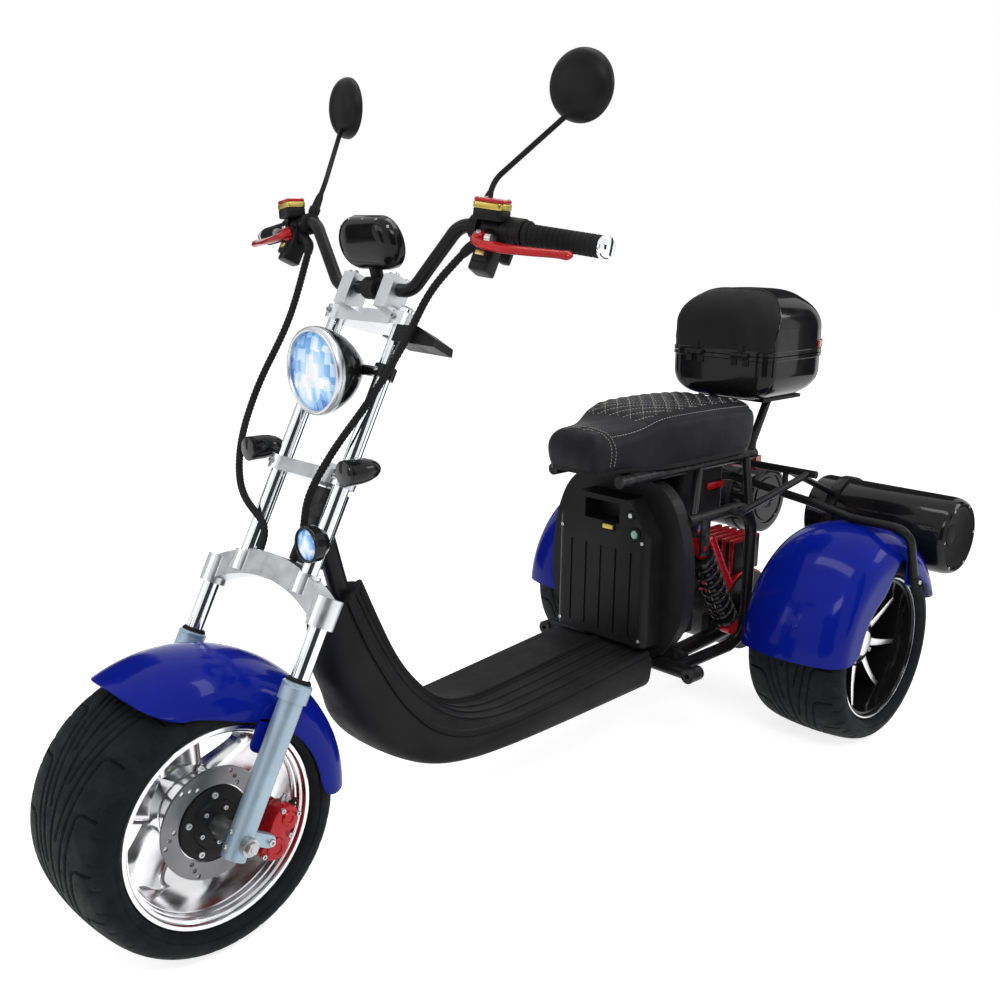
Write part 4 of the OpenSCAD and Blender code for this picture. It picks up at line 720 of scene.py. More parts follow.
def make_front_wheel():
    """A stepped rim with broad spokes that leave round windows, and the hub with its cover."""
    c, across = np.array(FRONT_HUB), np.linspace(-1, 1, 13)
    rim = Shape().add(ring_of(rim_section(True), c, SIDE, 96))
    for mid in turns(SPOKES) + PI / 2:
        rows = []
        for t in np.linspace(0, 1, 25):
            r = SPOKE_FROM + (SPOKE_TO - SPOKE_FROM) * t
            window = max(0.0, 1 - abs(2 * t - 1.02) ** 3.2) ** (1 / 2.6)
            half = PI / SPOKES - (PI / SPOKES - SPOKE_HALF / max(r, 60)) * window
            face, back = -4 - 5 * math.sin(PI * t) + 2 * t, -32 - 2 * t
            section = [(mid + half * q, face - 7 * abs(q) ** 4) for q in across]
            section += [(mid + half * q * 0.97, back) for q in across[::-1]]
            rows.append([c + (radial(a) * r + SIDE * y) * MM for a, y in section])
        rim.add(loft(rows))
    rim.piece("rim_front", "front_wheel", "alloy", node="front_rim", sharp=35)
    hub = Shape()
    hub.add(turned([(-92, 9.2), (-92, 40), (-88, 46), (-40, 62), (-30, 63), (20, 63), (21, 61), (28, 61),
                    (29, 63), (79.2, 63), (79.2, 9.2)], c, SIDE, 64), 2)
    hub.add(turned([(79.3, 9.2), (79.3, 61.5), (86, 60.5), (88, 58), (88, 40), (90.5, 38), (90.5, 20),
                    (92, 18), (92, 9.2)], c, SIDE, 64))
    for a in turns(SPOKES) + 0.3:
        for turn, r, y, d, h in ((0, 50, 87.6, 11, 5), (0.6, 29, 90.2, 8, 4)):
            hub.add(bolt(c + (radial(a + turn) * r + SIDE * y) * MM, SIDE, d, h), 1)
    hub.piece("hub_front", "front_wheel", "satin", "steel", "alloy", slot="front_rim")


def make_rear_wheels():
    """Black rims with swept blades, whose faces, lip and cap are bare metal."""
    for side, name in SIDES:
        c, out = wheel_at(side), SIDE * side
        rim = Shape().add(ring_of(rim_section(False), c, SIDE, 96))
        rim.add(ring_of([(101, 162.6), (104.6, 162.2), (104.8, 159.8), (102.6, 159)], c, out, 96), 1)
        rim.add(turned([(-46, 18), (-46, 63), (44, 63), (52, 56), (57, 44), (61.5, 34), (62, 30), (62, CORE)],
                       c, out, 64))
        rim.add(turned([(61.6, 30), (64, 28.5), (65, 24), (65, CORE)], c, out, 48), 1)
        for k, a in enumerate(turns(BLADES) + 0.2):
            along, blade, face = radial(a + PI / 2), [], []
            for t in np.linspace(0, 1, 15):
                half = 10 - 5 * t + 4 * max(0, 1 - t * 6)
                top, deep, edge = 50 + 14 * t ** 1.4, 34 + 12 * t, half * 0.93
                sweep = along * 4 * math.sin(PI * t) * side
                base = c + (radial(a) * (BLADE_FROM + BLADE_RUN * t) + sweep) * MM
                body = [(half, top), (half * 1.05, top - 2), (half * 0.7, top - deep)]
                plate = [(edge, top - 0.4), (edge, top + 0.5), (edge * 0.8, top + 0.9)]
                for rows, section in ((blade, body), (face, plate)):
                    rows.append([base + (along * q + out * z) * MM for q, z in both_sides(section)])
            rim.add(loft(blade))
            rim.add(loft(face[1:]), 1)
            if k % 2 == 0:
                rim.add(bolt(c + (radial(a + 0.39) * 47 + out * 54) * MM, out, 11, 5), 2)
        rim.piece("rim_rear_" + name, "rear_wheel_" + name, "gloss", "blade", "steel",
                  node="rear_rim_" + name, sharp=35)


# Fenders: angles are in degrees round the wheel, from straight ahead
FENDER_T, FENDER_HALF = 4, TYRE_HALF + 7
FENDER_OUT = FENDER_HALF + FENDER_T
CROWN_BOW, FENDER_ROUND, FENDER_FOOT, FENDER_STEPS, SHEET_STEPS = 220.0, 60.0, 100, 21, 40
FRONT_CROWN, REAR_CROWN, EAR_BOLTS = 256, 266, (148, 190)
FRONT_FROM, BEAK_END, SKIRT_END, FRONT_TO = 62.6, 74, 172, 182
BEAK_R, SKIRT_R, INNER_R = 201, 178, 186.0
REAR_FROM, REAR_FRONT, REAR_TO = 3.6, 14, 166
# The cut of a rear skirt (ahead, up from the axle): from its front up over the wheel and down to the rear
REAR_CUT = [(148, -60), (148, 28), (-14, 216), (-266, 43), (-266, -60)]
# The tongue that carries the rack's foot: its middle and half its spread, and the radius it reaches down to
TONGUE_ANGLE, TONGUE_SPREAD, TONGUE_R = 111, 11, 152


def fender_section(crown_r):
    """A fender's inner section (across, radius) from its middle to its side, and the way out at each."""
    bow_r, round_y = crown_r - CROWN_BOW, FENDER_HALF - FENDER_ROUND
    round_r = bow_r + math.sqrt((CROWN_BOW - FENDER_ROUND) ** 2 - round_y ** 2)
    lean = math.atan2(round_y, round_r - bow_r)
    skirt = np.linspace(round_r, FENDER_FOOT, FENDER_STEPS)[1:]
    angle = np.concatenate([np.linspace(0, lean, FENDER_STEPS, endpoint=False),
                            np.linspace(lean, PI / 2, FENDER_STEPS), 0 * skirt + PI / 2])
    outs = np.column_stack([np.sin(angle), np.cos(angle)])
    crown, shoulder = outs[:FENDER_STEPS], outs[FENDER_STEPS:2 * FENDER_STEPS]
    return np.vstack([crown * CROWN_BOW + [0, bow_r], shoulder * FENDER_ROUND + [round_y, round_r],
                      np.column_stack([0 * skirt + FENDER_HALF, skirt])]), outs


def fender_sheet(centre, angles, crown_r, left_edge, right_edge):
    """A fender as a closed sheet; an edge function gives the radius at which its side ends, for an angle."""
    points, outs = fender_section(crown_r)
    run, rows = run_along(points), []

    def lip(end, before):
        mid = place[end] + (way[end] + unit(place[end] - place[before])) * FENDER_T / 2
        return mid + way[end] * FENDER_T / 4, mid - way[end] * FENDER_T / 4

    for a in angles:
        halves = []
        for sign, edge in ((-1, right_edge), (1, left_edge)):
            q = np.linspace(0, np.interp(-edge(a), -points[:, 1], run), SHEET_STEPS)
            halves.append([read_off(q, run, table) * [sign, 1] for table in (points, outs)])
        place, way = (np.vstack([right[:0:-1], left]) for right, left in zip(*halves))
        way = units(way)
        section = np.vstack([place + way * FENDER_T, lip(-1, -2), place[::-1], lip(0, 1)[::-1]])
        rows.append((section[:, 1:] * radial(math.radians(a)) + section[:, :1] * SIDE) * MM + centre)
    return loft(rows)


def drawn_to(r, reach, k):
    """Carries an edge from one radius to another in a quarter circle, as k goes from 0 to 1."""
    return r + (reach - r) * quarter_round(k)


def front_edge(a):
    """The radius at which the front fender's side ends: a beak ahead, a deep skirt behind."""
    blend = smooth((a - BEAK_END) / 30)
    r = BEAK_R / math.sin(math.radians(min(a, 110))) * (1 - blend) + SKIRT_R * blend
    return drawn_to(drawn_to(r, 258, (BEAK_END - a) / 11.5), 200, (a - SKIRT_END) / 10)


def rear_edge(a):
    """The radius at which a ray meets the straight cut of a rear fender's outer skirt."""
    c, s = math.cos(math.radians(a)), math.sin(math.radians(a))
    best = 148.0
    for (x0, z0), (x1, z1) in zip(REAR_CUT, REAR_CUT[1:]):
        det = c * (z0 - z1) - s * (x0 - x1)
        if abs(det) < 1e-9:
            continue
        r = (x0 * (z0 - z1) - z0 * (x0 - x1)) / det
        share = (c * z0 - s * x0) / det
        if r > 0 and -1e-6 <= share <= 1 + 1e-6:
            best = max(best, r)
    return best


def outer_edge(a):
    """The same cut with soft corners, the tongue and a rounded front."""
    r = sum(rear_edge(a + d) * w for d, w in ((-6, 1), (-3, 2), (0, 3), (3, 2), (6, 1))) / 9
    r += (TONGUE_R - r) * smooth((TONGUE_SPREAD - abs(a - TONGUE_ANGLE)) / 5)
    return r + (250 - r) * 0.5 * quarter_round((REAR_FRONT - a) / 10.5)


def inner_edge(a):
    """The inner skirt ends at one radius all round."""
    return INNER_R


def make_fenders():
    angles = np.concatenate([np.linspace(FRONT_FROM, BEAK_END, 26), np.linspace(BEAK_END + 1, SKIRT_END, 74),
                             np.linspace(SKIRT_END + 1, FRONT_TO, 14)])
    fender = Shape().add(fender_sheet(FRONT_HUB, angles, FRONT_CROWN, front_edge, front_edge))
    # The ears that bolt to the sliders
    ear = rounded_outline(-23, 23, 128, 206, 14, 7)
    corner = np.sign(ear - [0, 167])
    for side in BOTH_SIDES:
        levels = (FENDER_HALF, 1), (FENDER_HALF + 1, 0), (FENDER_OUT - 1, 0), (FENDER_OUT, 1)
        rows = [[fork(x, side * y, z) for x, z in ear - corner * inset] for y, inset in levels]
        fender.add(loft(rows))
        for z in EAR_BOLTS:
            fender.add(solid([(0, 8), (6.5, 8)], fork(0, side * FENDER_OUT, z), SIDE * side, 24))
    fender.piece("fender_front", "steering", "blue", node="front_fender", sharp=45)
    angles = np.concatenate([np.linspace(REAR_FROM, REAR_FRONT, 16),
                             np.linspace(REAR_FRONT + 1.5, REAR_TO, 150)])
    for side, name in SIDES:
        sheet = fender_sheet(wheel_at(side), angles, REAR_CROWN, *(outer_edge, inner_edge)[::side])
        Shape().add(sheet).piece("fender_rear_" + name, "frame", "blue", node="rear_fender_" + name, sharp=45)


# Floor cover: the same loft as the source's, rounded further, with its ribs carried up the neck
FLOOR_HALF, NECK_HALF, FLOOR_END, BELLY_Z, NECK_RUN = 142, 60, 462.0, 146.0, 347.0
NECK_X = WHEELBASE - (TYRE_R + 33) - 4
NECK_TOP = TYRE_R - 55 * math.sin(RAKE) + 425 * math.cos(RAKE) - 54
# Stations down the neck: crest, ridge, half width, belly, its half width and the crest's, all as shares
NECK = [((0.26, 1.00), (0.08, 0.98), -0.18, (0.00, 0.80), 0.89, 0.30),
        ((0.37, 0.78), (0.17, 0.73), 0.00, (0.00, 0.62), 0.83, 0.30),
        ((0.49, 0.56), (0.30, 0.44), 0.30, (0.10, 0.44), 0.71, 0.35),
        ((0.63, 0.39), (0.38, 0.32), 0.46, (0.15, 0.31), 0.77, 0.45),
        ((0.81, 0.24), (0.46, 0.22), 0.67, (0.30, 0.15), 0.87, 0.60),
        ((1.00, 0.19), (0.64, 0.15), 0.92, (0.51, 0.06), 0.93, 0.75)]
RIB = both_sides([(3.6, -1.5), (3.6, 1.2), (2.4, 2.8)])
RIM = [(-6, -2), (-6, 5), (-4, 8), (0, 9), (4, 8), (6, 5), (6, -2)]


def station(crest, ridge, belly, half, belly_half, flat):
    """One ring of the cover: three corners on the left, and the same on the right."""
    left = [(crest[0], half * flat, crest[1]), (ridge[0], half, ridge[1]), (belly[0], belly_half, belly[1])]
    return left + [(x, -y, z) for x, y, z in left[::-1]]


def floor_rings():
    """The cover's stations, from the head of the neck to the footboard's end."""
    def spot(x, z):
        return NECK_X - x * NECK_RUN, BELLY_Z + z * (NECK_TOP - BELLY_Z)

    rings = []
    for crest, ridge, wide, belly, belly_wide, flat in NECK:
        half = NECK_HALF + wide * (FLOOR_HALF - NECK_HALF)
        rings.append(station(spot(*crest), spot(*ridge), spot(*belly), half, half * belly_wide, flat))
    foot = [NECK_X - share * NECK_RUN for share in (1.20, 1.14, 0.97)]
    for (crest, ridge, belly), z in ((foot, 214.0), ([FLOOR_END] * 3, 244.0)):
        rings.append(station((crest, z), (ridge, z - 8), (belly, BELLY_Z), FLOOR_HALF, FLOOR_HALF * 0.9, 0.9))
    return np.array(rings)


def crest_line(rows, share, start):
    """A line along the cover's top at a share of its half width, from a share of its length on."""
    line = []
    for ring in rows[int(len(rows) * start):]:
        n = len(ring) // 6
        top = np.vstack([ring[-n:], ring[:n + 1]])
        top = top[np.argsort(top[:, 1])]
        line.append(read_off(share * np.abs(top[:, 1]).max(), top[:, 1], top))
    return all_at(line)


def make_floor_cover():
    rows = np.array([corner_cut(ring, 4, loop=True) for ring in corner_cut(floor_rings(), 4)])
    cover = Shape().add(loft(all_at(rows)))
    for k in range(-3, 4):
        cover.add(swept(crest_line(rows, k * 0.21, 0.06), RIB))
    for side in BOTH_SIDES:
        cover.add(swept(crest_line(rows, side * 0.9, 0.03), RIM))
    cover.piece("floor_mat", "frame", "matte", node="floor_cover", sharp=35)


# Saddle: foam under a sewn cover
SEAT_X, SEAT_L, SEAT_HALF, SEAT_Z, SEAT_H = 78.0, 514.0, 126.0, 650.0, 114.0
SEAT_PLAN = [(0.00, 0.00), (0.00, 0.80), (0.04, 1.00), (0.50, 1.00), (0.68, 0.90), (0.84, 0.66), (0.99, 0.62),
             (1.00, 0.24), (1.00, 0.00)]
SEAT_CREST = [(0.00, 0.90), (0.24, 0.96), (0.50, 0.97), (0.66, 0.94), (0.76, 0.74), (0.84, 0.68),
              (1.00, 0.66)]
SEAT_STEPS, WALL_ROWS, TURN_ROWS, TOP_ROWS = 440, 14, 15, 36
SEAM_ROW, NOSE_SEAM_X = WALL_ROWS + 5, 546.0
SHOULDER, QUILT, QUILT_SLANT, QUILT_X = 40.0, 40.0, 1.15, (94.0, 454.0)
STITCH, STITCH_GAP, THREAD_R = 4.8, 2.4, 0.62


def seat_rows():
    """Closed contours of the saddle, from its foot on the pan up to the middle line of its top."""
    half = corner_cut(SEAT_PLAN, 4) * [SEAT_L, SEAT_HALF] + [SEAT_X, 0]
    edge = np.vstack([half, half[-2::-1] * [1, -1]])
    run = run_along(edge)
    edge = read_off(np.linspace(0, run[-1], SEAT_STEPS, endpoint=False), run, edge)
    heart = np.clip(edge, [SEAT_X + 80, 0], [SEAT_X + SEAT_L - 52, 0])
    reach, inward = np.linalg.norm(heart - edge, axis=1), units(heart - edge)
    crest, rows = corner_cut(SEAT_CREST, 3), []

    def tall_at(x):
        return np.interp((x - SEAT_X) / SEAT_L, crest[:, 0], crest[:, 1]) * SEAT_H

    def contour(inset, share, rise):
        spot = edge + inward * inset[:, None]
        rows.append(np.column_stack([spot, SEAT_Z + share * tall_at(spot[:, 0]) + rise]))

    r = np.minimum(SHOULDER, 0.55 * tall_at(edge[:, 0]))
    for t in np.linspace(0, 1, WALL_ROWS):
        contour(0 * r + 7 * (1 - t) ** 2, t, -t * r)
    for b in np.linspace(0, PI / 2, TURN_ROWS)[1:]:
        contour(r * (1 - math.cos(b)), 1, r * math.sin(b) - r)
    for g in np.linspace(0, 1, TOP_ROWS)[1:]:
        contour(r + (reach - r) * g, 1, 4 * (1 - (1 - g) ** 2))
    return np.array(rows)


def outward(rows):
    """Unit normals of a sheet of closed contours."""
    du = np.roll(rows, -1, axis=1) - np.roll(rows, 1, axis=1)
    n = np.cross(du, np.gradient(rows, axis=0))
    n /= np.linalg.norm(n, axis=2)[:, :, None] + 1e-12
    return n * np.sign(n[len(rows) * 3 // 4, :, 2].mean())


def quilted(rows):
    """The same contours with diamond quilting on the top and channels along the sewn seams."""
    x, y = rows[:, :, 0], rows[:, :, 1]
    number = np.arange(len(rows))[:, None]
    a, b = (x + y * QUILT_SLANT) / QUILT, (x - y * QUILT_SLANT) / QUILT
    puff = np.sqrt(np.abs(np.sin(PI * a) * np.sin(PI * b)))
    area = (np.clip((x - QUILT_X[0]) / 10, 0, 1) * np.clip((QUILT_X[1] - x) / 10, 0, 1)
            * np.clip((number - SEAM_ROW - 2) / 4, 0, 1))
    side_seam = np.exp(-((number - SEAM_ROW) / 0.9) ** 2) * (x < NOSE_SEAM_X)
    nose_seam = np.exp(-((x - NOSE_SEAM_X) / 3.0) ** 2)
    lift = 3.4 * puff * area - 2.2 * np.maximum(side_seam, nose_seam) * np.clip(number / 3, 0, 1)
    out = rows + outward(rows) * lift[:, :, None]
    # Both halves of the top meet on one middle line
    last = out[-1]
    mirror = last[(-np.arange(len(last))) % len(last)]
    last[:, (0, 2)] = (last[:, (0, 2)] + mirror[:, (0, 2)]) / 2
    last[:, 1] = 0
    return out


def stitched(shape, line, out):
    """Thread laid along a line on a surface, in stitches."""
    line, out = np.array(line), np.array(out)
    s = run_along(line)
    for start in np.arange(0, s[-1] - STITCH, STITCH + STITCH_GAP):
        q = start + STITCH * np.array([0, 0.5, 1])
        p = read_off(q, s, line) + read_off(q[1], s, out) * np.array([[-0.2], [0.4], [-0.2]])
        shape.add(tube(all_at(p), np.array([0.4, 1, 0.4]) * THREAD_R, 6))


def make_saddle():
    rows = quilted(seat_rows())
    verts, faces = skin(rows, loop=True)
    cover = Shape().add((all_at(verts), faces))
    # The closed foot on the pan
    cover.add((all_at(rows[0]), [list(range(SEAT_STEPS))]))
    cushion = cover.piece("saddle", "frame", "leather", node="seat_cushion", sharp=60)

    # The quilt's threads run straight across and lie on the top
    thread, normals = Shape(), outward(rows)
    top = BVHTree.FromPolygons([tuple(p) for p in verts], faces)
    rim = rows[SEAM_ROW + 5, :SEAT_STEPS // 2]
    for slant in (-QUILT_SLANT, QUILT_SLANT):
        for k in range(-2, 18):
            line, out = [], []
            for y in np.arange(-SEAT_HALF, SEAT_HALF, 2.0):
                x = k * QUILT + slant * y
                hit, normal, _, _ = top.ray_cast((x, y, SEAT_Z + 2 * SEAT_H), (0, 0, -1))
                if hit and QUILT_X[0] < x < QUILT_X[1] and abs(y) < np.interp(x, rim[:, 0], rim[:, 1]):
                    line.append(hit)
                    out.append(normal)
            if len(line) > 6:
                stitched(thread, line, out)
    # Threads along the side seams and on both sides of the nose's seam
    for ring in (np.arange(1, SEAT_STEPS // 2), np.arange(SEAT_STEPS - 1, SEAT_STEPS // 2, -1)):
        row = SEAM_ROW + 2
        keep = [j for j in ring if 84 < rows[row, j, 0] < NOSE_SEAM_X - 5]
        stitched(thread, rows[row, keep], normals[row, keep])
        for gap in (-6, 6):
            line, out = [], []
            for i in range(3, len(rows)):
                x = rows[i, ring, 0]
                j = ring[int(np.argmin(np.abs(x - NOSE_SEAM_X - gap)))]
                if x.max() > NOSE_SEAM_X + gap:
                    line.append(rows[i, j])
                    out.append(normals[i, j])
            stitched(thread, line, out)
    thread.piece("saddle_thread", "frame", "thread", slot="seat_cushion", merge=False)


# Springs
LOOP_Y = TRACK / 2 - FENDER_OUT - 8 - 29
SHOCK_TOP, SHOCK_FOOT, SPRING_END = at(346, 0, 468), at(208, 0, 256), 34
COILS, COIL_R, WIRE_R = 7.5, 24.4, 4.5


def make_springs():
    """A coil, the sleeve inside it and two cups on each shock."""
    spring, axis = Shape(), unit(SHOCK_TOP - SHOCK_FOOT)
    cup = [(-7, 12.5), (-7, 27), (-5, 29), (0, 29), (2, 27), (2, 12.5)]
    length = np.linalg.norm(SHOCK_TOP - SHOCK_FOOT) / MM - 2 * SPRING_END
    _, u, w = square_to(axis)
    t = np.linspace(0, 1, 211)[:, None]
    turn = COILS * TAU * t
    coil = axis * t * length + COIL_R * (np.cos(turn) * u + np.sin(turn) * w)
    for side in BOTH_SIDES:
        start = SHOCK_FOOT + (SIDE * side * LOOP_Y + axis * SPRING_END) * MM
        spring.add(tube(start + coil * MM, WIRE_R, 10))
        spring.add(ring_of([(3, 12.4), (3, 14.2), (length - 3, 14.2), (length - 3, 12.4)], start, axis, 32))
        for place, sign in ((start, 1), (start + axis * length * MM, -1)):
            spring.add(turned(cup, place, axis * sign, 36))
    spring.piece("springs", "frame", "gloss", node="shock_springs")


# Top box: a hinged clamshell with a matte front and a glossy dome
BOX_X0, BOX_X1, BOX_HALF = -208.0, 82.0, 139.0
BOX_Z0, BOX_SEAM, BOX_Z1 = 750.0, 854.0, 1000.0
DOME_TURN, TUB_TURN = 96.0, 62.0  # the heights over which the dome and the tub turn in
BOX_WALL, BOX_LIP, SEAM_HALF = 4.0, 2.2, 1.0
HINGE_X, HINGE_Y, KNUCKLE = 88.3, 62.0, 7.7
LENS_Z, LENS_END_X = 20, -118
# The lens's section: up from the seam, and out
LENS = [(11.5, 0.3), (11.5, 3.5), (13.5, 4.8), (26.5, 4.8), (28.5, 3.5), (28.5, 0.3)]


def box_ring(z, grow=0.0, steps=10):
    """The box's outline at a height, let out by some millimetres."""
    def drawn_in(wide, tall, low):
        top, foot = quarter_round((z - BOX_Z1 + tall) / tall), quarter_round((BOX_Z0 + low - z) / low)
        return wide * top + low * foot

    x0, x1 = BOX_X0 + drawn_in(112, DOME_TURN, TUB_TURN) - grow, BOX_X1 - drawn_in(86, 84, 36) + grow
    half = BOX_HALF - drawn_in(92, 84, TUB_TURN) + grow
    front, rear = min(36.0, half * 0.5), min(96.0, half * 0.9)
    out = []
    for x, y, r, a0 in ((x1 - front, half - front, front, 0), (x0 + rear, half - rear, rear, 90),
                        (x0 + rear, rear - half, rear, 180), (x1 - front, front - half, front, 270)):
        for a in np.radians(np.linspace(a0, a0 + 90, steps)):
            out.append((x + r * math.cos(a), y + r * math.sin(a), z))
    return np.array(out)


def shell_half(edge_z, end_z, depth):
    """Half of the box as a shell: its inner side, then its outer side with a lip at the seam."""
    up = 1 if end_z > edge_z else -1
    turn = end_z - up * depth * (1 - np.sin(np.linspace(0, PI / 2, 18)))
    straight = abs(end_z - edge_z) > depth + 20
    wall = np.linspace(edge_z + up * 14, end_z - up * depth, 5)[:-1] if straight else []
    heights = [(edge_z, BOX_LIP), (edge_z + up * 8, BOX_LIP), (edge_z + up * 10, 0.0)]
    heights += [(z, 0.0) for z in wall] + [(z, 0.0) for z in turn if (z - edge_z) * up > 12]
    outer = [box_ring(z, grow) for z, grow in heights]
    end, mid = outer[-1], outer[-1].mean(0)
    outer += [mid + (end - mid) * share + UP * up * rise for share, rise in ((0.7, 1.0), (0.35, 1.5))]
    squeeze = 1 - BOX_WALL / abs(end_z - edge_z)
    inner = []
    for z, _ in heights[::-1]:
        ring = box_ring(z, -BOX_WALL)
        ring[:, 2] = edge_z + (z - edge_z) * squeeze
        inner.append(ring)
    return np.array(inner + outer)


def knuckle(shape, y, up):
    """One knuckle of a hinge with its leaf on the box's front."""
    shape.add(turned([(-KNUCKLE, 3.4), (-KNUCKLE, 5.4), (1 - KNUCKLE, 6), (KNUCKLE - 1, 6), (KNUCKLE, 5.4),
                      (KNUCKLE, 3.4)], at(HINGE_X, y, BOX_SEAM), SIDE, 24), 2)
    leaf = at(BOX_X1 + 1.6, y, BOX_SEAM + up * 12.5)
    shape.add(block((2 * KNUCKLE, 3.4, 22), leaf, CROSSWISE, 1.2, 0.8), 2)


def panel_edge(z):
    """How far back the lid's matte front reaches at a height."""
    return 62 - 64 * ((z - BOX_SEAM) / (BOX_Z1 - BOX_SEAM)) ** 2


def make_dome():
    rows = shell_half(BOX_SEAM + SEAM_HALF, BOX_Z1, DOME_TURN)
    verts, faces = loft(rows)
    mid = np.array([verts[f].mean(0) for f in faces])
    matte = (mid[:, 0] > panel_edge(mid[:, 2])) & (mid[:, 2] > BOX_SEAM + 12)
    lid = Shape()
    for finish in (0, 1):
        lid.add((all_at(verts), [f for f, dull in zip(faces, matte) if dull == finish]), finish)
    # The ridge that frames the matte front
    left = []
    for ring in rows[len(rows) // 2 + 3:-2]:
        x, z, side = panel_edge(ring[0, 2]), ring[0, 2], ring[:len(ring) // 2]
        side = side[np.argsort(side[:, 0])]
        left.append((x, np.interp(x, side[:, 0], side[:, 1]), z))
    lid.add(tube(all_at(left + [(x, -y, z) for x, y, z in left[::-1]]), 2.2, 10))
    for side in BOTH_SIDES:
        knuckle(lid, side * HINGE_Y, 1)
    lid.piece("box_dome", "box_lid", "gloss", "matte", "satin", node="top_box_lid", sharp=35)


def make_tub():
    tub = Shape().add(loft(all_at(shell_half(BOX_SEAM - SEAM_HALF, BOX_Z0, TUB_TURN))))
    for side in BOTH_SIDES:
        for gap in (-16, 16):
            knuckle(tub, side * HINGE_Y + gap, -1)
        tub.add(solid([(-24, 3), (24, 3)], at(HINGE_X, side * HINGE_Y, BOX_SEAM), SIDE, 16), 2)
    # The lock at the rear
    tub.add(block((44, 12, 26), at(BOX_X0 + 3, 0, BOX_SEAM - 22), CROSSWISE, 4, 2), 2)
    barrel = [(0, 8), (2, 8), (3, 7), (3, 3), (1, 2.5)]
    tub.add(solid(barrel, at(BOX_X0 - 2.6, 0, BOX_SEAM - 22), -AHEAD, 24), 3)
    tub.piece("box_tub", "frame", "gloss", "matte", "satin", "steel", node="top_box_base", sharp=35)


def make_lid_lens():
    """The red lens round the lid's rear."""
    line = box_ring(BOX_SEAM + LENS_Z)
    line = line[line[:, 0] < LENS_END_X]
    away = units(np.column_stack([np.gradient(line[:, 1]), -np.gradient(line[:, 0]), 0 * line[:, 0]]))
    rows = [[p + n * out + UP * (up - LENS_Z) for up, out in LENS] for p, n in zip(line, away)]
    Shape().add(loft(all_at(rows))).piece("lid_lens", "box_lid", "redlens", node="lid_reflector")


# Handlebar fittings: the left ones are built beside the bar's outer stretch and then mirrored
BAR_BEND, BAR_END, PERCH_RUN = np.array([44.0, 190.0, 1003.7]), np.array([-20.0, 428.0, 1003.7]), 66.45
ALONG = unit(BAR_END - BAR_BEND)
BAR_X, BAR_Y = fork_way(ALONG[1], -ALONG[0], 0), fork_way(*ALONG)
PERCH = fork(*(BAR_BEND + ALONG * PERCH_RUN))
BAR_R, BAR_Z, PERCH_R, GRIP_FROM, GRIP_L = 11.4, 898.7, 19.0, 54.0, 126.0
MIRROR_FOOT, MIRROR_AT = np.array([35.65, 221.05, 1023.0]), (10.7, 298.2, 1257.7)
MIRROR_YAW = math.radians(11)


def dipped(angle):
    """The bar's axes, turned down about it by an angle."""
    x = BAR_X * math.cos(angle) - FORK_Z * math.sin(angle)
    return x, BAR_Y, np.cross(x, BAR_Y)


BAR, LEVER, LEVEL = (BAR_X, BAR_Y, FORK_Z), dipped(math.radians(50)), dipped(RAKE)


def by_perch(x, y, z, axes=BAR):
    """A place near the lever's perch: across the bar, along it and up."""
    return PERCH + (axes[0] * x + axes[1] * y + axes[2] * z) * MM


def make_grips():
    """Ribbed grips with a flange, and the bar's end weights."""
    profile = [(0, BAR_R), (0, 19.5), (2, 21), (5, 21), (7, 19.5), (8, 16)]
    for rib in range(10, 110, 9):
        profile += [(rib, 15.8), (rib + 1, 17), (rib + 6, 17), (rib + 7, 15.8)]
    profile += [(120, 17), (GRIP_L - 1, 17), (GRIP_L, 16), (GRIP_L, BAR_R)]
    weight = [(0, 14.5), (1.5, 16), (5, 16.4), (6, 15.4), (7, 16.4), (14, 16.4), (17, 14.5), (18, 11)]
    grips = Shape().add(turned(profile, by_perch(0, GRIP_FROM, 0), BAR_Y, 36))
    grips.add(solid(weight, by_perch(0, GRIP_FROM + GRIP_L + 0.2, 0), BAR_Y, 36), 1)
    grips.mirrored().piece("grip_pair", "steering", "grip", "chrome", node="grips")


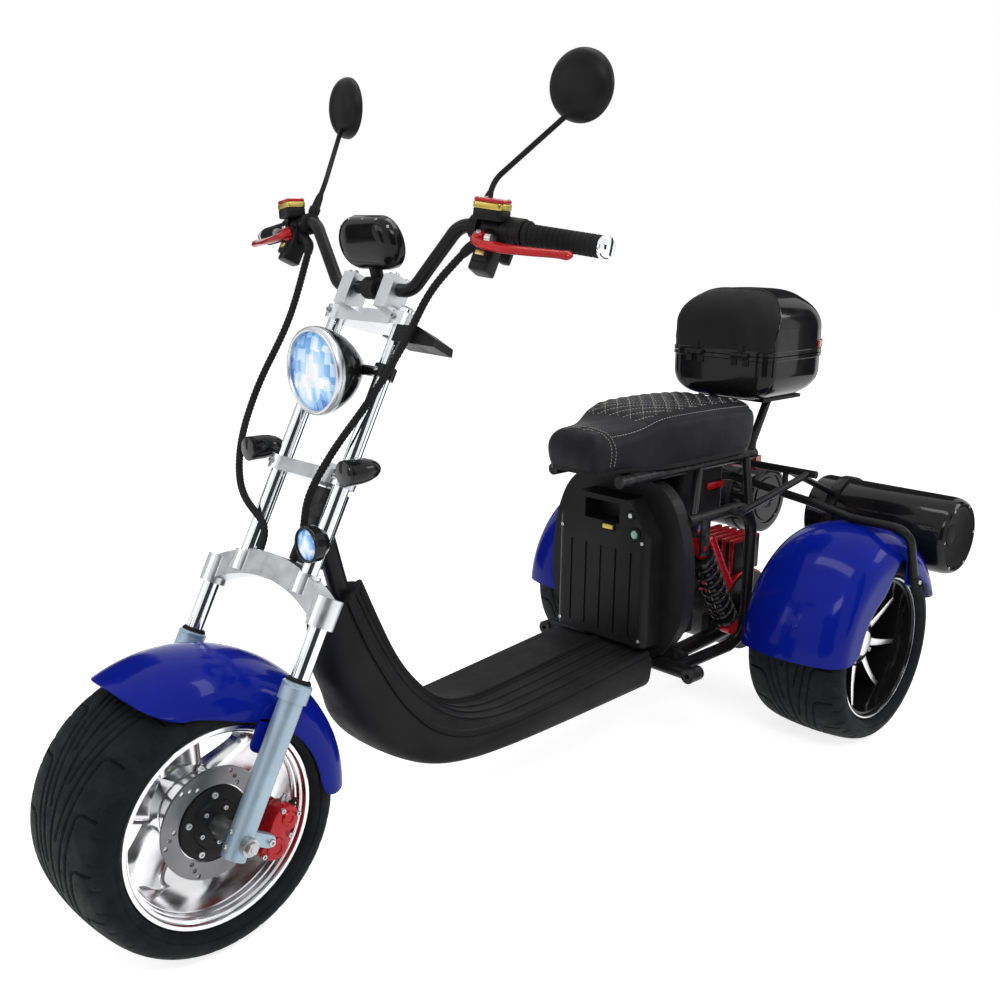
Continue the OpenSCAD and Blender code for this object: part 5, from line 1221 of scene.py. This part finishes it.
def make_controls():
    """The levers' perches, the reservoirs, the switch boxes and the boots over the looms' upper ends."""
    ring = [(-17, BAR_R), (-17, PERCH_R - 1), (-16, PERCH_R), (16, PERCH_R), (17, PERCH_R - 1), (17, BAR_R)]
    box = Shape().add(ring_of(ring, PERCH, BAR_Y, 36))
    box.add(ring_of([(q * 0.47, r) for q, r in ring], by_perch(0, -34.5, 0), BAR_Y, 36))
    box.add(ring_of([(16.5, BAR_R), (16.5, 21), (18, 23), (32, 23), (33, 22), (34, 22), (35, 23), (50, 23),
                     (52, 21), (52, BAR_R)], PERCH, BAR_Y, 40))
    for size, place, axes, r, soft, finish in (
            ((36, 15, 18), (18, 0, 0), LEVER, 5, 2, 0),
            # A reservoir's black cup and gold band; its red lid is made with the levers
            ((36, 52, 16), (18, 0, 23), LEVEL, 8, 2, 0), ((37, 53, 10), (18, 0, 36), LEVEL, 8, 1.5, 1),
            # A switch box under the bar with its panel and two buttons, and the thumb switch beside it
            ((34, 34, 60), (0, 0, -43), BAR, 6, 3, 0), ((5, 26, 34), (18, 0, -44), BAR, 2, 1.2, 2),
            ((5, 16, 8), (20.5, 0, -34), BAR, 2, 1.2, 3), ((5, 16, 8), (20.5, 0, -48), BAR, 2, 1.2, 4),
            ((15, 17, 40), (6, 38, -34), BAR, 5, 3, 0)):
        box.add(block(size, by_perch(*place, axes), axes, r, soft), finish)
    for y in (-11, 11):
        box.add(bolt(by_perch(1 - PERCH_R, y, 0), -BAR_X, 7, 4), 5)
    box.mirrored()
    for side, route in LOOMS.items():
        top, below = np.array(route[:2])
        boot = curve_through([fork(28, side * 244, 984), fork(31, side * 232, 979),
                              fork(*(top + [0, side * 5, 3])), fork(*(top * 0.9 + below * 0.1))], 2)
        box.add(tube(boot, np.linspace(11, 7.4, len(boot)), 18))
    finishes = "satin", "gold", "matte", "red", "brass", "steel"
    box.piece("control_pair", "steering", *finishes, node="bar_controls")


def make_levers():
    """Oval levers on their pivots with adjusters, and the reservoirs' lids with their screws."""
    line = [(31, -15), (40, -9), (49, 12), (53, 44), (49, 90), (43, 130), (41, 156)]
    path = curve_through([by_perch(x, y, 0, LEVER) for x, y in line], 3)
    share = np.linspace(0, 1, len(path))
    wide = np.interp(share, [0, 0.1, 0.35, 0.8, 0.93, 0.98, 1], [10, 12, 11, 8.5, 9.5, 9, 4])
    thick = np.interp(share, [0, 0.1, 0.3, 0.9, 0.96, 1], [7, 7, 6, 5.5, 7, 3])
    lever, down = Shape().add(oval(path, wide, thick, LEVER[2])), LEVER[2]
    pivot = by_perch(36, -7, 0, LEVER)
    lever.add(solid([(-11, 8), (-10, 9), (10, 9), (11, 8)], pivot, down, 28))
    lever.add(bolt(pivot + down * 10.5 * MM, down, 9, 4), 1)
    lever.add(solid([(-5, 7.5), (5, 7.5)], by_perch(44, 16, 8, LEVER), BAR_Y, 14), 1)
    lever.add(block((36, 52, 5), by_perch(18, 0, 43.8, LEVEL), LEVEL, 8, 1.5))
    for x in (5, 31):
        for y in (-20, 20):
            lever.add(bolt(by_perch(x, y, 46, LEVEL), LEVEL[2], 5, 1.8), 1)
    lever.mirrored().piece("lever_pair", "steering", "red", "steel", node="brake_levers")


def make_mirrors():
    """Round mirror backs on bent stems with rubber boots."""
    way = np.array([math.cos(MIRROR_YAW), math.sin(MIRROR_YAW), 0])
    centre, foot = fork(*MIRROR_AT), fork(*MIRROR_FOOT)
    dish = [(-15, 52.4), (-15, 55), (-13.5, 56), (-10, 56)]
    dish += [(-10 + 25 * math.sin(b), 56 * math.cos(b) ** 0.75) for b in np.linspace(0.05, PI / 2 - 0.02, 22)]
    mirror = Shape().add(turned(dish + [(15, CORE)], centre, way, 64))
    mirror.add(turned([(-12.6, 52.4), (-12.6, CORE)], centre, way, 64))
    mirror.add(tube(bent(foot, fork(*(MIRROR_FOOT + [0, 0, 62])), centre - UP * 30 * MM, 0.05, 14), 4.5, 14))
    boot = [(0, 4), (0, 9), (3, 10), (12, 10), (14, 8), (34, 6.5), (40, 5), (40, 4)]
    mirror.add(turned(boot, foot, FORK_Z, 24), 1)
    mirror.mirrored().piece("mirror_pair", "steering", "satin", "grip", node="mirrors")


# Display
POD_AT, POD_TILT, POD_TALL, POD_HALF, POD_ROUND = fork(46, 0, 968.7), math.radians(42 + 90), 44, 76, 43
POD_DEEP = FORK_X * math.sin(POD_TILT) + FORK_Z * math.cos(POD_TILT)
POD_UP = FORK_X * math.cos(POD_TILT) - FORK_Z * math.sin(POD_TILT)
# Contours of its case: how deep behind the face, and how far in
POD_CASE = ((0, 4), (0.6, 1.5), (2, 0), (10, 0), (15, 1), (20, 4), (24.5, 9), (28, 17), (29.6, 26), (30, 34))
POD_SCREWS = ((-30, 62), (0, 70), (-40, 36), (-40, 0), (-40, -36), (-30, -62), (0, -70))


def pod_contour(inset, r, deep):
    """An outline of the display's face, drawn in, at a depth behind it."""
    x, y = POD_TALL - inset, POD_HALF - inset
    o = rounded_outline(-x, x, -y, y, r, 12)
    return POD_AT + (o[:, :1] * POD_UP + o[:, 1:] * SIDE + deep * POD_DEEP) * MM


def make_pod():
    """The display's case with its rim, glass and screws, and the clamp on the bar."""
    rows = [pod_contour(inset, POD_ROUND - inset * 0.98, deep) for deep, inset in POD_CASE]
    pod = Shape().add(loft(rows))
    rim = pod_contour(1, 42, 1.2)
    pod.add(tube(np.vstack([rim, rim[:1]]), 1.6, 8, caps=False), 1)
    glass = rounded_outline(-34, 34, -64, 64, 33, 12)
    glass = POD_AT + (glass[:, :1] * POD_UP + glass[:, 1:] * SIDE) * MM
    pod.add(loft([glass + POD_DEEP * deep * MM for deep in (0.4, -0.8)]), 2)
    for x, y in POD_SCREWS:
        out = x * POD_UP + y * SIDE
        pod.add(bolt(POD_AT + (out + 16 * POD_DEEP) * MM, POD_DEEP + 0.7 * unit(out), 5, 2), 3)
    bar = fork(14, 0, BAR_Z)
    pod.add(ring_of([(-15, BAR_R), (-15, PERCH_R), (15, PERCH_R), (15, BAR_R)], bar, SIDE, 36), 1)
    pod.add(tube([bar + FORK_Z * 18 * MM, POD_AT + POD_DEEP * 12 * MM], 11, 20), 1)
    pod.piece("display", "steering", "gloss", "satin", "smoke", "steel", node="display_pod")


# Lamps
STAY_Z, SIGNAL_Z = 759.8, 592


def make_lamps():
    shell = [(-92, 20), (-90.5, 25), (-84, 32), (-70, 45.5), (-54, 58), (-36, 67), (-22, 71.8), (-16.2, 72.6)]
    bowl = Shape().add(solid(shell, LAMP, AHEAD, 72))
    stay = LAMP - AHEAD * 83.05 * MM
    bowl.add(tube([stay - SIDE * 72.7 * MM, stay + SIDE * 72.7 * MM], 9, 24))
    clamp_ring = [(-11, 14.3), (-11, 18), (-10, 19), (10, 19), (11, 18), (11, 14.3)]
    for side in BOTH_SIDES:
        bowl.add(ring_of(clamp_ring, fork(0, side * TUBE_Y, STAY_Z), FORK_Z, 40))
        bowl.add(bolt(fork(18, side * TUBE_Y, STAY_Z), FORK_X, 8, 5), 1)
    bowl.piece("headlamp_bowl", "steering", "gloss", "steel", node="headlamp_shell")
    trim = [(-16, 64.1), (-16, 72.6), (-13, 73.6), (-7, 73.4), (-2.5, 71.6), (-0.4, 69), (0.2, 66.6),
            (-1, 64.8), (-5, 64.1)]
    rim = Shape().add(ring_of(trim, LAMP, AHEAD, 96))
    rim.piece("headlamp_trim", "steering", "silver", node="headlamp_rim", sharp=50)
    glass = [(0.3, CORE), (0.3, 25), (2, 24.6), (4.2, 20), (5.6, 12), (6, CORE)]
    fog = Shape().add(turned(glass, FOG, AHEAD, 48))
    fog.add(ring_of([(0.2, 25.2), (0.2, 29), (4, 29), (5.5, 27.8), (5.5, 26), (3, 25.2)], FOG, AHEAD, 48), 1)
    fog.piece("fog_glass", "steering", "fog", "gloss", slot="fog_lamp")
    mid = fork(14, 135, SIGNAL_Z)
    signal = Shape().add(solid([(-36, 6), (-33, 10.5), (-24, 15.5), (-10, 19.4), (6, 21), (28, 21), (29, 20),
                                (30, 21), (33, 21)], mid, AHEAD, 40))
    signal.add(turned([(32.6, CORE), (32.6, 19.6), (34.4, 18.5), (36, 12), (36.4, CORE)], mid, AHEAD, 40), 1)
    signal.add(tube([fork(4.2, 101, SIGNAL_Z), mid], 6, 16))
    signal.mirrored().piece("signal_pair", "steering", "gloss", "smoke", node="turn_signals")


# Brake caliper: outlines are in the fork's X and Z
LOBES = [(-77, -36), (-108, -41), (-130, -26), (-128, 4), (-120, 12), (-131, 26), (-125, 49), (-104, 57),
         (-86, 50), (-80, 28), (-82, 4)]
BRIDGE = [(-98, -30), (-126, -28), (-126, 36), (-98, 36)]
ARM = [(-86, -14), (-56, -13), (-21, -17), (-21, 12), (-56, 9), (-86, 8)]
CALIPER_Y = 121.6


def make_caliper():
    """Two lobed halves with a bridge over the disc, and the arm to the slider's foot."""
    lobes = corner_cut(LOBES, 3, loop=True)
    body = Shape().add(slab(lobes, 87, 122, 4)).add(slab(lobes * [0.98, 0.9], 57, 78, 3))
    body.add(slab(corner_cut(BRIDGE, 2, loop=True), 70, 92, 2))
    for x, z, r in ((-104, -16, 17), (-107, 34, 12.5)):
        cap = [(0, r), (3, r), (5, r - 2), (5, r * 0.55), (3, r * 0.5)]
        body.add(solid(cap, fork(x, CALIPER_Y, z), SIDE, 32))
    for x, z in ((-86, -32), (-122, 8), (-90, 44), (-122, 44)):
        body.add(bolt(fork(x, CALIPER_Y, z), SIDE, 9, 5), 1)
    # Hose union and bleed nipple
    body.add(turned([(0, CORE), (0, 7), (6, 7), (6, 4), (14, 3.2), (15, CORE)], fork(-118, 104, 50),
                    FORK_Z - 0.4 * FORK_X, 12), 2)
    body.add(solid([(0, 5), (8, 5), (9, 3), (14, 3)], fork(-98, 104, 53), FORK_Z, 6), 1)
    body.add(slab(corner_cut(ARM, 2, loop=True), 122.4, 138, 2.5), 3)
    body.add(bolt(fork(-76, 137.6, -3), SIDE, 12, 6), 1)
    body.piece("caliper", "steering", "red", "steel", "satin", "slider", node="brake_caliper", sharp=35)


# Fork hardware
SLIDER_Y, SLIDER_TOP, RISER_Y, RISER_TOP = 155.5, 246, 54, BAR_Z + BAR_R + 9


def make_hardware():
    """The fork's caps, bolts, seals and axle nuts."""
    bits = Shape()
    for side in BOTH_SIDES:
        seal = fork(0, side * SLIDER_Y, SLIDER_TOP)
        cap = fork(0, side * TUBE_Y, 869.6)
        bits.add(solid([(0, 12), (3, 12), (5, 10), (5, 5), (3, 4.6)], cap, FORK_Z, 6))
        for z in (TOP_CLAMP_Z, LOW_CLAMP_Z):
            bits.add(bolt(fork(20, side * TUBE_Y, z), FORK_X, 10, 7))
        for z in EAR_BOLTS:
            bits.add(bolt(fork(0, side * 134, z), SIDE * side, 12, 3))
        bits.add(ring_of([(-4, 15.3), (-4, 23), (-2, 24.4), (3, 24.4), (5, 22), (6, 17), (6, 15.3)], seal,
                         FORK_Z, 40), 1)
        bits.add(ring_of([(6, 15.3), (6, 20.5), (9, 20), (12, 17.5), (12, 15.3)], seal, FORK_Z, 40), 2)
        bits.add(hex_nut(fork(0, side * 187.3, 0), SIDE * side, 22, 7))
        for x in (2, 26):
            for y in (-8, 8):
                bits.add(bolt(fork(x, side * (RISER_Y + y), RISER_TOP), FORK_Z, 7, 4))
        for z in (-12, 12):
            bits.add(bolt(fork(20, side * SLIDER_Y, z), FORK_X, 8, 5))
    bits.piece("fork_bolts", "steering", "steel", "slider", "grip", slot="fork_sliders")


# Battery fittings
BATTERY_X = 480.0


def make_battery_fittings():
    """The handle, the latch, the key switch, the charging port and the case's bolts."""
    trim = Shape().add(tube([at(466, y, 568) for y in np.linspace(-50, 50, 9)], 7.5, 18))
    key, port = at(BATTERY_X + 0.2, 79, 545), at(BATTERY_X + 0.2, 92, 506)
    trim.add(block((28, 7, 10), at(BATTERY_X + 3, 20, 511), CROSSWISE, 2.5, 1.2), 1)
    trim.add(block((34, 2, 16), at(BATTERY_X + 0.8, 20, 511), CROSSWISE, 3, 0.6))
    trim.add(solid([(0, 11), (2.5, 11), (4, 9.5), (4, 6), (0.5, 5.5)], key, AHEAD, 32))
    trim.add(turned([(0.4, CORE), (0.4, 5.4), (3, 5.2), (3.6, CORE)], key, AHEAD, 20), 2)
    trim.add(solid([(0, 15), (3, 15), (5, 13), (5, 10.5), (2, 10)], port, AHEAD, 36))
    trim.add(turned([(1, CORE), (1, 9.8), (3.2, 9), (4.6, 5), (5, CORE)], port, AHEAD, 28), 3)
    for side in BOTH_SIDES:
        for z in (272, 490):
            trim.add(bolt(at(BATTERY_X - 0.5, side * 112, z), AHEAD, 8, 3), 2)
    trim.piece("battery_fittings", "frame", "satin", "gold", "steel", "port", slot="battery_case")


# Rear: tube loudspeakers, drive cover, the rack's feet and the stripe on the box under the saddle
SPEAKER_AT, RACK_END_Y = at(-312, 80, 428), TRACK / 2 + FENDER_OUT + 10.3
SPEAKER = [(4, CORE), (4, 22), (0, 25), (0, 58), (4, 60), (4, 66), (0, 68), (0, 80), (1, 84), (5, 91),
           (12, 94), (338, 94), (350, 93), (360, 90.5), (366, 87), (370, 82)]
SPEAKER_CONE = [(370, 82), (367, 79), (362, 77), (366, 74), (358, 66), (350, 46), (346, 26), (349, 24),
                (352, 14), (353, CORE)]


def make_speakers():
    tubes = Shape().add(turned(SPEAKER, SPEAKER_AT, SIDE, 72))
    tubes.add(turned(SPEAKER_CONE, SPEAKER_AT, SIDE, 72), 1)
    for a in turns(6):
        tubes.add(bolt(SPEAKER_AT + (radial(a) * 80 + SIDE * 366.6) * MM, SIDE, 7, 3), 2)
    tubes.mirrored().piece("speaker_pair", "frame", "gloss", "matte", "steel", node="tube_speakers", sharp=35)


def make_drive_cover():
    """Bands round the drive housing, and the ribbed red housing that stands on it."""
    cover = Shape()
    band = [(0, 98.4), (0, 102), (2, 104), (22, 104), (24, 102), (24, 98.4)]
    for k in range(5):
        rows = [[at(0, -70 + 29 * k + y, TYRE_R) + radial(a) * r * MM for y, r in band]
                for a in np.radians(np.linspace(30, 150, 25))]
        cover.add(loft(rows), k % 2)
    cover.add(block((112, 128, 78), at(0, 0, 361), LENGTHWISE, 8, 3), 1)
    for y in range(-55, 56, 22):
        cover.add(block((120, 12, 84), at(0, y, 364), LENGTHWISE, 5, 2))
    cover.piece("drive_cover", "frame", "red", "satin", slot="rear_axle", sharp=35)


def make_rear_trim():
    """The rack's rubber feet, and the red stripe on each side of the box under the saddle."""
    foot, way = at(-60, RACK_END_Y, 371), unit([-50, 0, -132])
    feet = Shape().add(turned([(-18, 10.2), (-18, 11.6), (2, 11.6), (6, 9), (7, CORE)], foot, way, 28))
    feet.add(bolt(foot - way * 6 * MM + SIDE * 11.2 * MM, SIDE, 9, 4), 1)
    feet.mirrored().piece("rack_feet", "frame", "grip", "steel", slot="rear_rack")
    stripe = Shape().add(block((60, 2, 18), at(176, 76.4, 566), LENGTHWISE, 4, 0.7))
    stripe.mirrored().piece("box_stripe", "frame", "red", slot="underseat_box")


# Stage and light, in metres
FLOOR_GLOW, WORLD_LIGHT = 0.8, 0.45
LIGHTS = (  # name, place, aim, width, height, power
    ("key", (1.6, 2.4, 3.0), (0, 0, 0.4), 1.4, 0.9, 30),
    ("fill", (3.2, -1.2, 2.0), (0.2, 0, 0.5), 1.6, 1.2, 14),
    ("top", (-0.4, 0.3, 3.4), (-0.1, 0, 0.4), 2.4, 0.5, 22),
    ("rim", (-2.6, 1.8, 2.2), (0, 0, 0.5), 1.2, 0.8, 14),
)
# Dark cards round the set: the angle each stands at, and half its width
CARDS = ((-20, 0.42), (48, 1.5), (112, 0.42), (160, 0.42), (198, 0.8), (236, 0.4), (274, 0.8), (312, 0.3))
CARD_FAR, CARD_LOW, CARD_HIGH = 3.6, 0.05, 3.2


def make_floor():
    """A white floor that glows for the camera and in reflections, and lights nothing."""
    bpy.ops.mesh.primitive_plane_add(size=30, location=(0, 0, -0.0005))
    floor = bpy.context.object
    floor.name = "floor"
    n = material("floor_white")
    floor.data.materials.append(n.finish((0.8, 0.8, 0.8), 0.9))
    shaded = n.shader.outputs[0]
    glow = n.new("ShaderNodeEmission", {"Color": (1, 1, 1), "Strength": FLOOR_GLOW}).outputs[0]
    lit = n.new("ShaderNodeAddShader", {0: shaded, 1: glow}).outputs[0]
    surface = n.new("ShaderNodeMixShader", {0: n.seen(), 1: shaded, 2: lit}).outputs[0]
    n.feed(n.tree.nodes["Material Output"], {"Surface": surface})


def make_world():
    """White surroundings that light things less than they show."""
    scene.world = bpy.data.worlds.new("studio")
    n = Nodes(scene.world)
    strength = n.ramp(n.seen(), 0, 1, WORLD_LIGHT, 1.0)
    n.feed(n.tree.nodes["Background"], {"Color": (1, 1, 1), "Strength": strength})


def make_lights():
    for name, place, aim, wide, tall, power in LIGHTS:
        data = bpy.data.lights.new(name, "AREA")
        data.shape, data.size, data.size_y, data.energy = "RECTANGLE", wide, tall, power
        back, u, w = square_to(np.subtract(place, aim))
        place_in_scene(name, data, u, w, back, place)


def make_cards():
    """The dark cards, which only reflections show."""
    card = plain("dark_card", (0.02, 0.02, 0.022), (0.03, 0.03, 0.032), (0.8, 0.9))
    for k, (angle, half) in enumerate(CARDS):
        c, s = math.cos(math.radians(angle)), math.sin(math.radians(angle))
        corners = ((-half, CARD_LOW), (half, CARD_LOW), (half, CARD_HIGH), (-half, CARD_HIGH))
        mesh = bpy.data.meshes.new("card_%d" % k)
        mesh.from_pydata([(c * CARD_FAR - s * w, s * CARD_FAR + c * w, z) for w, z in corners], [],
                         [(0, 1, 2, 3)])
        mesh.materials.append(card)
        obj = bpy.data.objects.new(mesh.name, mesh)
        scene.collection.objects.link(obj)
        obj.visible_camera = obj.visible_diffuse = obj.visible_shadow = False


make_camera()
make_looms()
finish_nodes()
make_tyres()
make_front_wheel()
make_rear_wheels()
make_fenders()
make_floor_cover()
make_saddle()
make_springs()
make_dome()
make_tub()
make_lid_lens()
make_grips()
make_controls()
make_levers()
make_mirrors()
make_pod()
make_lamps()
make_caliper()
make_hardware()
make_battery_fittings()
make_speakers()
make_drive_cover()
make_rear_trim()
make_floor()
make_world()
make_lights()
make_cards()
scene.view_settings.view_transform = "Standard"
